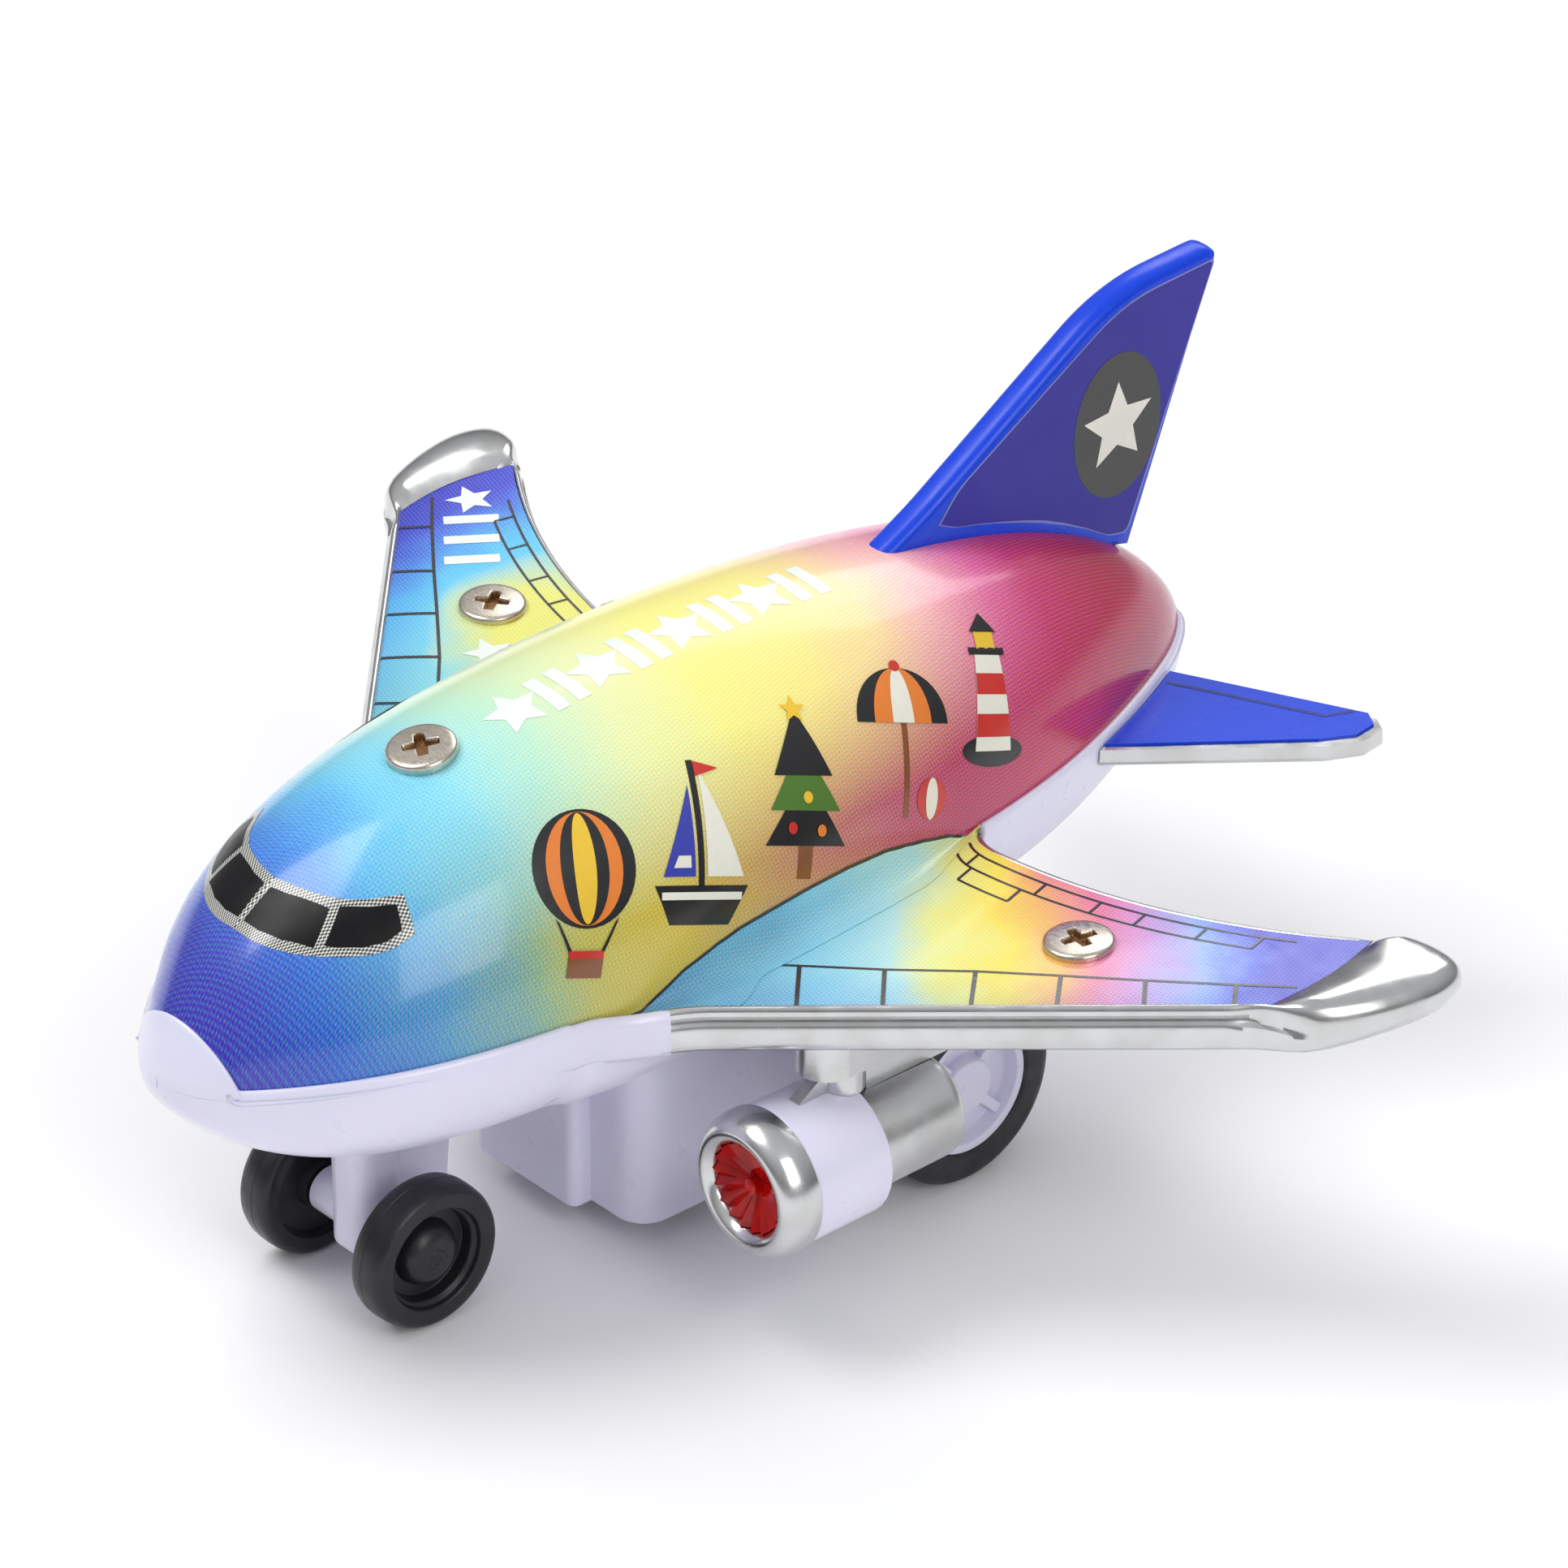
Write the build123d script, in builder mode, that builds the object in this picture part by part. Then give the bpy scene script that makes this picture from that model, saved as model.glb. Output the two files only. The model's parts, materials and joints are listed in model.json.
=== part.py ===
from build123d import *
from math import acos, cos, pi, radians, sin, tan
import os

# Toy airplane with a printed tinplate top, a moulded hull, friction drive and lit engines.
# Millimetres. +Z is up, the nose points to -Y, port is +X.
# The origin is on the ground, under the middle of the length and of the span.

# ---- driving dimensions -------------------------------------------------------------
TIN = 0.4                     # thickness of the tinplate
WALL = 1.5                    # thickness of the moulded walls
GAP = 0.1                     # clearance between pieces that are fitted together
RUN = 0.05                    # radial clearance of a turning shaft
SNUG = 0.02                   # radial clearance of a pressed piece

NOSE_AXLE_Y = -42.6
NOSE_WHEEL_R = 7.6
NOSE_WHEEL_W = 4.3
NOSE_TRACK = 10.8             # outer face of the nose wheels
NOSE_AXLE_R = 1.0

MAIN_AXLE_Y = 12.5
MAIN_WHEEL_R = 10.4
MAIN_WHEEL_W = 6.4
MAIN_TRACK = 25.7             # outer face of the main wheels
MAIN_HUB_R = 6.9
MAIN_AXLE_R = 1.1

BELLY_Z = 3.0
BELLY_HALF = 14.8
BELLY_FRONT = -21.0
BELLY_REAR = 20.5
BELLY_TOP = 26.0

ENGINE_X = 32.0
ENGINE_Z = 17.4
ENGINE_FRONT = -23.8

SCREW_R = 1.5
SCREW_HEAD_R = 3.45
SCREW_HEAD_H = 1.55

# Fuselage stations: distance aft, half width, height of the parting line, top, bottom.
STATIONS = (
    (-67.6, 1.2, 33.2, 35.4, 32.0),
    (-66.4, 4.0, 33.2, 37.6, 29.6),
    (-62.6, 7.6, 33.2, 41.2, 26.6),
    (-54.6, 13.8, 33.7, 47.2, 22.6),
    (-42.6, 18.8, 34.2, 53.3, 20.9),
    (-27.6, 21.4, 34.6, 56.5, 21.0),
    (-7.6, 21.8, 34.9, 58.1, 21.4),
    (12.4, 20.7, 35.2, 57.5, 21.8),
    (32.4, 17.2, 35.5, 54.8, 23.6),
    (47.4, 11.6, 35.6, 49.8, 26.8),
    (56.4, 6.8, 35.6, 44.0, 29.6),
    (61.6, 2.2, 35.6, 38.2, 32.6),
)
HULL_FULLNESS = 2.6           # exponent of the hull's rounded underside
LIP = 0.8                     # how far the hull's lip stands out and up round the tin
NOSE_CAP = (0, -64.6, 39.3)   # top of the joint between the tin and the nose cap
NOSE_CAP_LEAN = 16            # lean of that joint, degrees

# The wing's top is one plane: height at the origin, rise along the span, rise going aft.
WING_Z = 34.3
WING_DIHEDRAL = 0.045
WING_INCIDENCE = 0.045
WING_ROOT_LE = (22.5, -24.8)
WING_TIP_LE = (63.9, 14.0)
WING_TIP_TE = (63.0, 28.2)
WING_MID_TE = (45.0, 18.9)
WING_ROOT_TE = (24.0, 15.2)
WING_RIM = 1.2
WING_DEPTH = 4.4
WING_THIN = 0.085             # how fast the wing thins out behind the leading edge

FIN_HALF = 2.3
FIN_TAB_X = (-1.3, 1.3)
FIN_TAB_Y = (27.0, 46.0)
TAIL_Z = 34.6
TAIL_DIHEDRAL = 0.05
WING_INNER = 14.0             # the wing's own pieces start this far out
TONGUE_X = (18.4, 23.5)       # tongue that lets a wing frame into the hull's side
TONGUE_Y = (-14.0, 6.0)
TONGUE_Z = (31.4, 33.0)
WING_SCREW_AT = (43.3, 9.25)
NOSE_SCREW_AT = (0, -34.4, 55.56)
NOSE_SCREW_LEAN = 11

# ---- gear train of the friction drive -----------------------------------------------
MODULE = 0.6
PRESSURE_ANGLE = radians(25)
BACKLASH = 0.16
AXLE_TEETH = 16
IDLER_PINION_TEETH = 11
IDLER_TEETH = 20
FLYWHEEL_TEETH = 10
IDLER_DIRECTION = 138         # from the main axle to the idler, degrees above aft
FLYWHEEL_DIRECTION = 130      # from the idler to the flywheel
SHAFT_R = 0.8


def polar(centre, distance, angle):
    """Point at a distance and an angle from a centre, in the side view."""
    return (
        centre[0] + distance * cos(radians(angle)),
        centre[1] + distance * sin(radians(angle)),
    )


MAIN_AXLE = (MAIN_AXLE_Y, MAIN_WHEEL_R)
NOSE_AXLE = (NOSE_AXLE_Y, NOSE_WHEEL_R)
IDLER_SHAFT = polar(MAIN_AXLE, MODULE * (AXLE_TEETH + IDLER_PINION_TEETH) / 2, IDLER_DIRECTION)
FLYWHEEL_SHAFT = polar(IDLER_SHAFT, MODULE * (IDLER_TEETH + FLYWHEEL_TEETH) / 2, FLYWHEEL_DIRECTION)

os.makedirs("parts", exist_ok=True)


# ---- helpers ------------------------------------------------------------------------
def save(piece, name):
    """Label a finished piece and write it to its own file."""
    piece.label = name
    export_step(piece, "parts/" + name + ".step")


def save_pair(piece, name):
    """Write a port piece, and its mirror image as the starboard one."""
    save(piece, "port_" + name)
    save(mirror(piece, about=Plane.YZ), "starboard_" + name)


def side_plane(x, centre=(0, 0)):
    """Plane facing +X, with its x axis aft and its y axis up."""
    return Plane(origin=(x, centre[0], centre[1]), x_dir=(0, 1, 0), z_dir=(1, 0, 0))


def rod(radius, x_from, x_to, centre):
    """Round bar along X."""
    with BuildPart() as bar:
        with BuildSketch(side_plane(x_from, centre)):
            Circle(radius)
        extrude(amount=x_to - x_from)
    return bar.part


def block(x, y, z):
    """Box between two values on each axis."""
    with BuildPart() as box:
        with BuildSketch(Plane.XY.offset(z[0])):
            with Locations(((x[0] + x[1]) / 2, (y[0] + y[1]) / 2)):
                Rectangle(x[1] - x[0], y[1] - y[0])
        extrude(amount=z[1] - z[0])
    return box.part


def drawn_in(thickness):
    """Stations of a hollow: its ends stop one wall short of the outside."""
    first = (STATIONS[1][0] + thickness, *STATIONS[1][1:])
    last = (STATIONS[-1][0] - thickness, *STATIONS[-1][1:])
    return (first, *STATIONS[2:-1], last)


def upper_form(grow, drop=0, stations=STATIONS):
    """Fuselage above the parting line, grown outwards, with its sides carried down."""
    with BuildPart() as form:
        for aft, half_width, parting, top, bottom in stations:
            half = half_width + grow
            with BuildSketch(Plane.XZ.offset(-aft)):
                with BuildLine():
                    arch = EllipticalCenterArc(
                        (0, parting), half, top - parting + grow, arc_size=180
                    )
                    if drop:
                        Polyline(
                            arch @ 1, (-half, parting - drop), (half, parting - drop), arch @ 0
                        )
                    else:
                        Line(arch @ 1, arch @ 0)
                make_face()
        loft()
    return form.part


def lower_form(inset, rise, stations=STATIONS):
    """Hull with its lip, drawn in by an amount, with its sides carried up."""
    with BuildPart() as form:
        for aft, half_width, parting, top, bottom in stations:
            half = half_width + LIP - inset
            depth = parting - bottom - inset
            bowl = []
            for step in range(9):
                turn = pi * step / 8
                across = abs(cos(turn)) ** (2 / HULL_FULLNESS)
                down = abs(sin(turn)) ** (2 / HULL_FULLNESS)
                side = 1 if step < 4 else -1
                bowl.append((side * half * across, parting - depth * down))
            with BuildSketch(Plane.XZ.offset(-aft)):
                with BuildLine():
                    curve = Spline(*bowl, tangents=[(0, -1), (0, 1)])
                    Polyline(
                        curve @ 1, (-half, parting + rise), (half, parting + rise), curve @ 0
                    )
                make_face()
        loft()
    return form.part


def involute(angle):
    """Roll angle left over by an involute at a pressure angle."""
    return tan(angle) - angle


def gear_face(teeth, first_tooth):
    """Spur gear outline, with a tooth centred on the first_tooth angle."""
    pitch_r = MODULE * teeth / 2
    base_r = pitch_r * cos(PRESSURE_ANGLE)
    root_r = pitch_r - 1.1 * MODULE
    tip_r = pitch_r + 0.82 * MODULE
    half_tooth = pi / (2 * teeth) - BACKLASH / (4 * pitch_r)
    flank = [(root_r - 0.1, half_tooth + involute(PRESSURE_ANGLE))]
    start_r = max(base_r, root_r)
    for step in range(5):
        radius = start_r + (tip_r - start_r) * step / 4
        slope = acos(min(1, base_r / radius))
        flank.append((radius, half_tooth + involute(PRESSURE_ANGLE) - involute(slope)))
    outline = [(radius * cos(turn), radius * sin(turn)) for radius, turn in flank]
    outline += [(radius * cos(turn), -radius * sin(turn)) for radius, turn in reversed(flank)]
    with BuildSketch() as tooth:
        with BuildLine():
            Polyline(*outline, close=True)
        make_face()
    with BuildSketch() as face:
        Circle(root_r)
        with PolarLocations(0, teeth, start_angle=first_tooth):
            add(tooth.sketch)
    return face.sketch


def spur_gear(teeth, first_tooth, x_from, x_to, centre):
    """Solid spur gear along X."""
    with BuildPart() as gear:
        with BuildSketch(side_plane(x_from, centre)):
            add(gear_face(teeth, first_tooth))
        extrude(amount=x_to - x_from)
    return gear.part


def cross_screw(shank, place):
    """Truss-head screw with a cross recess, its head standing on the given plane."""
    with BuildPart() as screw:
        with BuildSketch(place):
            Circle(SCREW_HEAD_R)
        extrude(amount=SCREW_HEAD_H)
        rims = screw.edges().filter_by(GeomType.CIRCLE)
        fillet(rims.sort_by(Axis(place.origin, place.z_dir))[-1], 1.1)
        with BuildSketch(place):
            Circle(SCREW_R)
        extrude(amount=-shank)
        with BuildSketch(place.offset(SCREW_HEAD_H)):
            Rectangle(3.7, 0.9)
            Rectangle(0.9, 3.7)
        extrude(amount=-1.0, mode=Mode.SUBTRACT)
    return screw.part


def hole_rod(place, radius):
    """Short rod through a plane, to cut a screw hole with."""
    with BuildPart() as cutter:
        with BuildSketch(place.offset(-12)):
            Circle(radius)
        extrude(amount=16)
    return cutter.part


# ---- reference planes ---------------------------------------------------------------
WING_TOP = Plane(
    origin=(0, 0, WING_Z),
    x_dir=(1, 0, WING_DIHEDRAL),
    z_dir=(-WING_DIHEDRAL, -WING_INCIDENCE, 1),
)
WING_UNDER = Plane(
    origin=(WING_ROOT_LE[0], WING_ROOT_LE[1], WING_Z - WING_DEPTH),
    z_dir=(-(WING_DIHEDRAL - 0.68 * WING_THIN), -(WING_INCIDENCE + 0.73 * WING_THIN), 1),
)
NOSE_JOINT = Plane(
    origin=NOSE_CAP,
    x_dir=(1, 0, 0),
    z_dir=(0, cos(radians(NOSE_CAP_LEAN)), sin(radians(NOSE_CAP_LEAN))),
)
TAIL_TOP = Plane(origin=(0, 0, TAIL_Z), x_dir=(1, 0, TAIL_DIHEDRAL), z_dir=(-TAIL_DIHEDRAL, 0, 1))
WING_SCREW = Plane(
    origin=WING_TOP.from_local_coords((*WING_SCREW_AT, 0.05)), z_dir=WING_TOP.z_dir
)
NOSE_SCREW = Plane(
    origin=NOSE_SCREW_AT,
    x_dir=(1, 0, 0),
    z_dir=(0, -sin(radians(NOSE_SCREW_LEAN)), cos(radians(NOSE_SCREW_LEAN))),
)


# ---- tin skin -----------------------------------------------------------------------
def wing_outline(widen):
    """Plan of the tin on one wing, carried inwards under the fuselage."""
    slope = (WING_TIP_LE[1] - WING_ROOT_LE[1]) / (WING_TIP_LE[0] - WING_ROOT_LE[0])
    inner_front = WING_ROOT_LE[1] - slope * (WING_ROOT_LE[0] - WING_INNER)
    with BuildSketch() as plan:
        with BuildLine():
            Polyline(
                (WING_INNER, WING_ROOT_TE[1]),
                (WING_INNER, inner_front),
                WING_TIP_LE,
                WING_TIP_TE,
            )
            ThreePointArc(WING_TIP_TE, WING_MID_TE, WING_ROOT_TE)
            Line(WING_ROOT_TE, (WING_INNER, WING_ROOT_TE[1]))
        make_face()
        if widen:
            offset(amount=widen, kind=Kind.INTERSECTION)
    return plan.sketch


def wing_slab(widen, above, below):
    """Wing-shaped slab on both sides, from one height to another about the wing's top."""
    with BuildPart() as slab:
        with BuildSketch(WING_TOP.offset(-below)):
            add(wing_outline(widen))
        extrude(amount=above + below)
        mirror(about=Plane.YZ)
    return slab.part


with BuildPart() as tin_body_skin:
    add(upper_form(0))
    add(wing_slab(0, 0, TIN))
    add(upper_form(-TIN, 3, drawn_in(TIN)), mode=Mode.SUBTRACT)
    split(bisect_by=NOSE_JOINT, keep=Keep.TOP)
    for place in (WING_SCREW, NOSE_SCREW):
        with BuildSketch(place.offset(-4)):
            Circle(SCREW_R + 0.2)
        extrude(amount=8, mode=Mode.SUBTRACT)
    add(mirror(hole_rod(WING_SCREW, SCREW_R + 0.2), about=Plane.YZ), mode=Mode.SUBTRACT)
    add(block(FIN_TAB_X, FIN_TAB_Y, (30, 60)), mode=Mode.SUBTRACT)
save(tin_body_skin.part, "tin_body_skin")


# ---- hull, with the nose cap and the lip --------------------------------------------
def wing_blank():
    """Whole wing frame before it is hollowed: rim, underside and the swollen tip."""
    with BuildPart() as blank:
        with BuildSketch(WING_TOP.offset(-7)):
            add(wing_outline(WING_RIM))
            with BuildLine():
                front = (62.0, 10.6)
                rear = (63.0, 29.4)
                Spline(
                    front, (69.4, 16.4), (71.8, 24.5), (70.6, 30.6), rear,
                    tangents=[(1.0, 0.8), (-1, -0.25)],
                )
                Line(rear, front)
            make_face()
        extrude(amount=7.6)
        split(bisect_by=WING_UNDER, keep=Keep.TOP)
        rim = blank.faces().sort_by(Axis(WING_TOP.origin, WING_TOP.z_dir))
        fillet(rim[0].edges() + rim[-1].edges(), 0.5)
    return blank.part


def side_tongue(room):
    """Tongue by which a wing frame is let into the hull's side, with room around it."""
    return block(
        (TONGUE_X[0] - room, TONGUE_X[1] + room),
        (TONGUE_Y[0] - room, TONGUE_Y[1] + room),
        (TONGUE_Z[0] - room, TONGUE_Z[1] + room),
    )


def belly_outline(widen):
    """Plan of the belly housing, with its narrower front step."""
    with BuildSketch() as plan:
        with Locations((0, (BELLY_FRONT + BELLY_REAR) / 2)):
            RectangleRounded(2 * BELLY_HALF, BELLY_REAR - BELLY_FRONT, 3.5)
        with Locations((0, BELLY_FRONT)):
            RectangleRounded(15.0, 4.6, 1.2)
        if widen:
            offset(amount=widen)
    return plan.sketch


def leg_outline(widen):
    """Section of the nose leg: a rounded column with a thin web behind it."""
    with BuildSketch() as plan:
        with Locations((0, NOSE_AXLE_Y)):
            RectangleRounded(5.8, 5.8, 2.0)
        with Locations((0, NOSE_AXLE_Y + 5.5)):
            Rectangle(2.0, 9.0)
        if widen:
            offset(amount=widen)
    return plan.sketch


with BuildPart() as nose_cap:
    add(lower_form(0, LIP))
    add(upper_form(LIP / 2))
    split(bisect_by=NOSE_JOINT.offset(-GAP), keep=Keep.BOTTOM)
with BuildPart() as lower_hull:
    add(lower_form(0, LIP))
    add(lower_form(WALL, 6, drawn_in(WALL)), mode=Mode.SUBTRACT)
    add(upper_form(GAP), mode=Mode.SUBTRACT)
    add(nose_cap.part)
    add(upper_form(-WALL, 3, drawn_in(WALL)), mode=Mode.SUBTRACT)
    with BuildSketch(NOSE_SCREW.offset(-TIN - 0.4)):
        Circle(3)
    extrude(amount=-33.0)
    with BuildSketch(NOSE_SCREW.offset(-TIN - 0.4)):
        Circle(SCREW_R + SNUG)
    extrude(amount=-9, mode=Mode.SUBTRACT)
    add(wing_slab(WING_RIM + GAP, 3, TIN + GAP).solids(), mode=Mode.SUBTRACT)
    add(side_tongue(GAP), mode=Mode.SUBTRACT)
    add(mirror(side_tongue(GAP), about=Plane.YZ), mode=Mode.SUBTRACT)
    with BuildSketch(Plane.XY.offset(10)):
        add(belly_outline(GAP))
    extrude(amount=18, mode=Mode.SUBTRACT)
    with BuildSketch(Plane.XY.offset(10)):
        add(leg_outline(GAP))
    extrude(amount=14, mode=Mode.SUBTRACT)
    with Locations((0, 33, 24)):
        with PolarLocations(4, 6):
            Cylinder(0.8, 8, mode=Mode.SUBTRACT)
save(lower_hull.part, "lower_hull")


# ---- wing frames --------------------------------------------------------------------
with BuildPart() as wing_frame:
    add(wing_blank())
    add(wing_slab(0.05, 3, TIN + 0.03).solids(), mode=Mode.SUBTRACT)
    add(lower_form(-GAP, LIP + 4), mode=Mode.SUBTRACT)
    add(side_tongue(0))
    with BuildSketch(WING_SCREW.offset(-1.5)):
        Circle(2.7)
    extrude(amount=-6)
    add(hole_rod(WING_SCREW, SCREW_R + SNUG), mode=Mode.SUBTRACT)
save_pair(wing_frame.part, "wing_frame")


# ---- belly housing, door and nose leg -----------------------------------------------
DOOR_X = 12.6
DOOR_Y = (-19.2, -7.6)
FLOOR = 1.3
SWITCH_AT = (11.0, 5.0)

with BuildPart() as belly_housing:
    with BuildSketch(Plane.XY.offset(BELLY_Z)):
        add(belly_outline(0))
    extrude(amount=BELLY_TOP - BELLY_Z)
    fillet(belly_housing.faces().sort_by(Axis.Z)[0].edges(), 0.6)
    with BuildSketch(Plane.XY.offset(BELLY_Z + FLOOR)):
        add(belly_outline(-WALL))
    extrude(amount=BELLY_TOP, mode=Mode.SUBTRACT)
    add(block((-13.5, 13.5), (-6.9, -5.9), (BELLY_Z + 0.5, 17.4)))
    add(block((-DOOR_X, DOOR_X), DOOR_Y, (0, BELLY_Z + 3)), mode=Mode.SUBTRACT)
    add(block((9.3, 12.7), (1.0, 9.0), (0, BELLY_Z + 3)), mode=Mode.SUBTRACT)
    add(rod(MAIN_AXLE_R + 0.4, -20, 20, MAIN_AXLE), mode=Mode.SUBTRACT)
    add(block((9.2, 13.6), (-15.4, -11.4), (BELLY_Z + FLOOR + GAP, 9.5)))
    with Locations((DOOR_X - 2.0, sum(DOOR_Y) / 2, BELLY_Z + 4)):
        Cylinder(0.9 + SNUG, 6, mode=Mode.SUBTRACT)
save(belly_housing.part, "belly_housing")

with BuildPart() as battery_door:
    add(block(
        (-DOOR_X + GAP, DOOR_X - GAP), (DOOR_Y[0] + GAP, DOOR_Y[1] - GAP),
        (BELLY_Z, BELLY_Z + FLOOR),
    ))
    with Locations((DOOR_X - 2.0, sum(DOOR_Y) / 2, BELLY_Z)):
        Cylinder(1.0, 6, mode=Mode.SUBTRACT)
        Cylinder(2.0, 1.4, mode=Mode.SUBTRACT)
save(battery_door.part, "battery_door")

with BuildPart() as door_screw:
    with Locations((DOOR_X - 2.0, sum(DOOR_Y) / 2, BELLY_Z + 0.1)):
        Cylinder(1.9, 0.55, align=(Align.CENTER, Align.CENTER, Align.MIN))
        Cylinder(0.9, 3.6, align=(Align.CENTER, Align.CENTER, Align.MIN))
        Box(2.6, 0.5, 0.5, mode=Mode.SUBTRACT)
        Box(0.5, 2.6, 0.5, mode=Mode.SUBTRACT)
save(door_screw.part, "door_screw")

with BuildPart() as nose_gear_leg:
    with BuildSketch(Plane.XY.offset(4.4)):
        add(leg_outline(0))
    extrude(amount=20)
    fillet(nose_gear_leg.faces().sort_by(Axis.Z)[0].edges(), 0.8)
    with BuildSketch(Plane.YZ.offset(-5)):
        Polygon((-34.0, 4), (-30, 4), (-30, 21), (-32.4, 21), align=None)
        Polygon((-39, 4), (-33.5, 4), (-35.6, 8.6), align=None)
    extrude(amount=10, mode=Mode.SUBTRACT)
    add(rod(2.4, -5.9, 5.9, NOSE_AXLE))
    add(rod(NOSE_AXLE_R + RUN, -7, 7, NOSE_AXLE), mode=Mode.SUBTRACT)
save(nose_gear_leg.part, "nose_gear_leg")


# ---- engines ------------------------------------------------------------------------
def turned(*profile):
    """Port engine piece, turned about the engine's axis from (radius, aft) corners."""
    with BuildPart() as piece:
        with BuildSketch(Plane.XY.offset(ENGINE_Z)):
            with BuildLine():
                Polyline(*[(ENGINE_X + radius, aft) for radius, aft in profile], close=True)
            make_face()
        revolve(axis=Axis((ENGINE_X, 0, ENGINE_Z), (0, 1, 0)))
    return piece.part


RING_REAR = ENGINE_FRONT + 6.7
BARREL_REAR = RING_REAR + 9.0
PIPE_REAR = BARREL_REAR + 9.4
LENS_R = 4.6

with BuildPart() as engine_cowl:
    add(turned(
        (LENS_R + SNUG, ENGINE_FRONT + 1.2), (LENS_R + 0.9, ENGINE_FRONT),
        (6.2, ENGINE_FRONT + 0.3), (7.1, ENGINE_FRONT + 2.0), (7.4, ENGINE_FRONT + 4.0),
        (7.3, RING_REAR), (LENS_R + SNUG, RING_REAR),
    ))
    fillet(engine_cowl.edges().filter_by(GeomType.CIRCLE).sort_by(Axis.Y)[:1], 0.3)
save_pair(engine_cowl.part, "engine_cowl")

save_pair(turned(
    (0, ENGINE_FRONT + 1.4), (0.8, ENGINE_FRONT + 1.4), (1.0, ENGINE_FRONT + 1.9),
    (LENS_R, ENGINE_FRONT + 1.2), (LENS_R, RING_REAR - 0.2), (2.0, RING_REAR - 0.2),
    (0, ENGINE_FRONT + 3.2),
), "engine_lens")

save_pair(turned(
    (0, RING_REAR - 0.1 - 1.6), (1.2, RING_REAR - 1.2), (1.5, RING_REAR - 0.1),
    (1.5, RING_REAR + 2.4), (1.9, RING_REAR + 2.4), (1.9, RING_REAR + 3.4), (0, RING_REAR + 3.4),
), "led")

with BuildPart() as engine_barrel:
    add(turned(
        (5.6, RING_REAR + SNUG), (7.15, RING_REAR + SNUG), (7.15, BARREL_REAR),
        (0, BARREL_REAR), (0, BARREL_REAR - WALL), (5.6, BARREL_REAR - WALL),
    ))
    fillet(engine_barrel.edges().filter_by(GeomType.CIRCLE).sort_by(Axis.Y)[-1], 0.4)
save_pair(engine_barrel.part, "engine_barrel")

with BuildPart() as tailpipe:
    add(turned(
        (0, BARREL_REAR + SNUG), (5.5, BARREL_REAR + SNUG), (5.5, PIPE_REAR - 1.6),
        (4.6, PIPE_REAR - 0.4), (2.2, PIPE_REAR), (2.0, PIPE_REAR + 0.9), (0, PIPE_REAR + 1.1),
    ))
save_pair(tailpipe.part, "tailpipe")

with BuildPart() as pylon:
    with BuildSketch(Plane.XY.offset(27.0)):
        with Locations((ENGINE_X, -7.0)):
            SlotOverall(17.0, 6.4, rotation=90)
    extrude(amount=10)
    with BuildSketch(Plane.XY.offset(20)):
        with Locations((ENGINE_X, -10.6)):
            Circle(2.4)
        with Locations((ENGINE_X, -4.6)):
            Rectangle(1.6, 14)
    extrude(amount=10)
    with BuildSketch(Plane.YZ.offset(ENGINE_X - 0.7)):
        Polygon((-17.0, 24.2), (-12.0, 24.0), (-12.0, 27.4), align=None)
    extrude(amount=1.4)
    add(wing_slab(WING_RIM, 6, 0).solids(), mode=Mode.SUBTRACT)
    split(bisect_by=WING_UNDER.offset(-SNUG), keep=Keep.BOTTOM)
    with BuildSketch(Plane.XZ.offset(-RING_REAR)):
        with Locations((ENGINE_X, ENGINE_Z)):
            Circle(7.15 + SNUG)
    extrude(amount=-(BARREL_REAR - RING_REAR + SNUG), mode=Mode.SUBTRACT)
    with BuildSketch(Plane.XZ.offset(-BARREL_REAR)):
        with Locations((ENGINE_X, ENGINE_Z)):
            Circle(5.5 + SNUG)
    extrude(amount=-12, mode=Mode.SUBTRACT)
save_pair(pylon.part, "pylon")


# ---- tail ---------------------------------------------------------------------------
def fin_outline(inset):
    """Side view of the fin, or of the sticker set in from its edges."""
    with BuildSketch() as side:
        with BuildLine():
            edge = FilletPolyline(
                (20.6 + inset, 46.0), (20.8 + inset, 56.0), (30.8 + inset, 57.6),
                (55.0 + inset * 0.4, 76.4 - inset * 0.8), (68.2, 75.8 - inset * 0.8),
                (55.3, 42.0), radius=(1.4, 16, 9, 1.2),
            )
            Line(edge @ 1, edge @ 0)
        make_face()
    return side.sketch


with BuildPart() as tail_fin:
    with BuildSketch(Plane.YZ):
        add(fin_outline(0))
    extrude(amount=FIN_HALF, both=True)
    fillet(tail_fin.edges().filter_by(Axis.X, reverse=True), 1.2)
    add(upper_form(0.05), mode=Mode.SUBTRACT)
    add(block(
        (FIN_TAB_X[0] + GAP, FIN_TAB_X[1] - GAP), (FIN_TAB_Y[0] + GAP, FIN_TAB_Y[1] - GAP), (46, 57)
    ))
save(tail_fin.part, "tail_fin")

with BuildPart() as fin_sticker:
    with BuildSketch(Plane.YZ.offset(FIN_HALF + SNUG)):
        add(fin_outline(3.2))
    extrude(amount=0.15)
    add(upper_form(2.2), mode=Mode.SUBTRACT)
save_pair(fin_sticker.part, "fin_sticker")


def tailplane_outline(inset):
    """Plan of the port tailplane, or of the skin set in from its front and tip."""
    with BuildSketch() as plan:
        with BuildLine():
            Polyline(
                (5.0, 33.0 - inset), (13.0, 33.0 + inset), (31.6 - inset, 53.2 + inset * 0.4),
                (33.6 - inset, 57.0), (33.2 - inset, 59.8), (31.2 - inset, 61.0), (5.0, 51.6),
                close=True,
            )
        make_face()
    return plan.sketch


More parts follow.
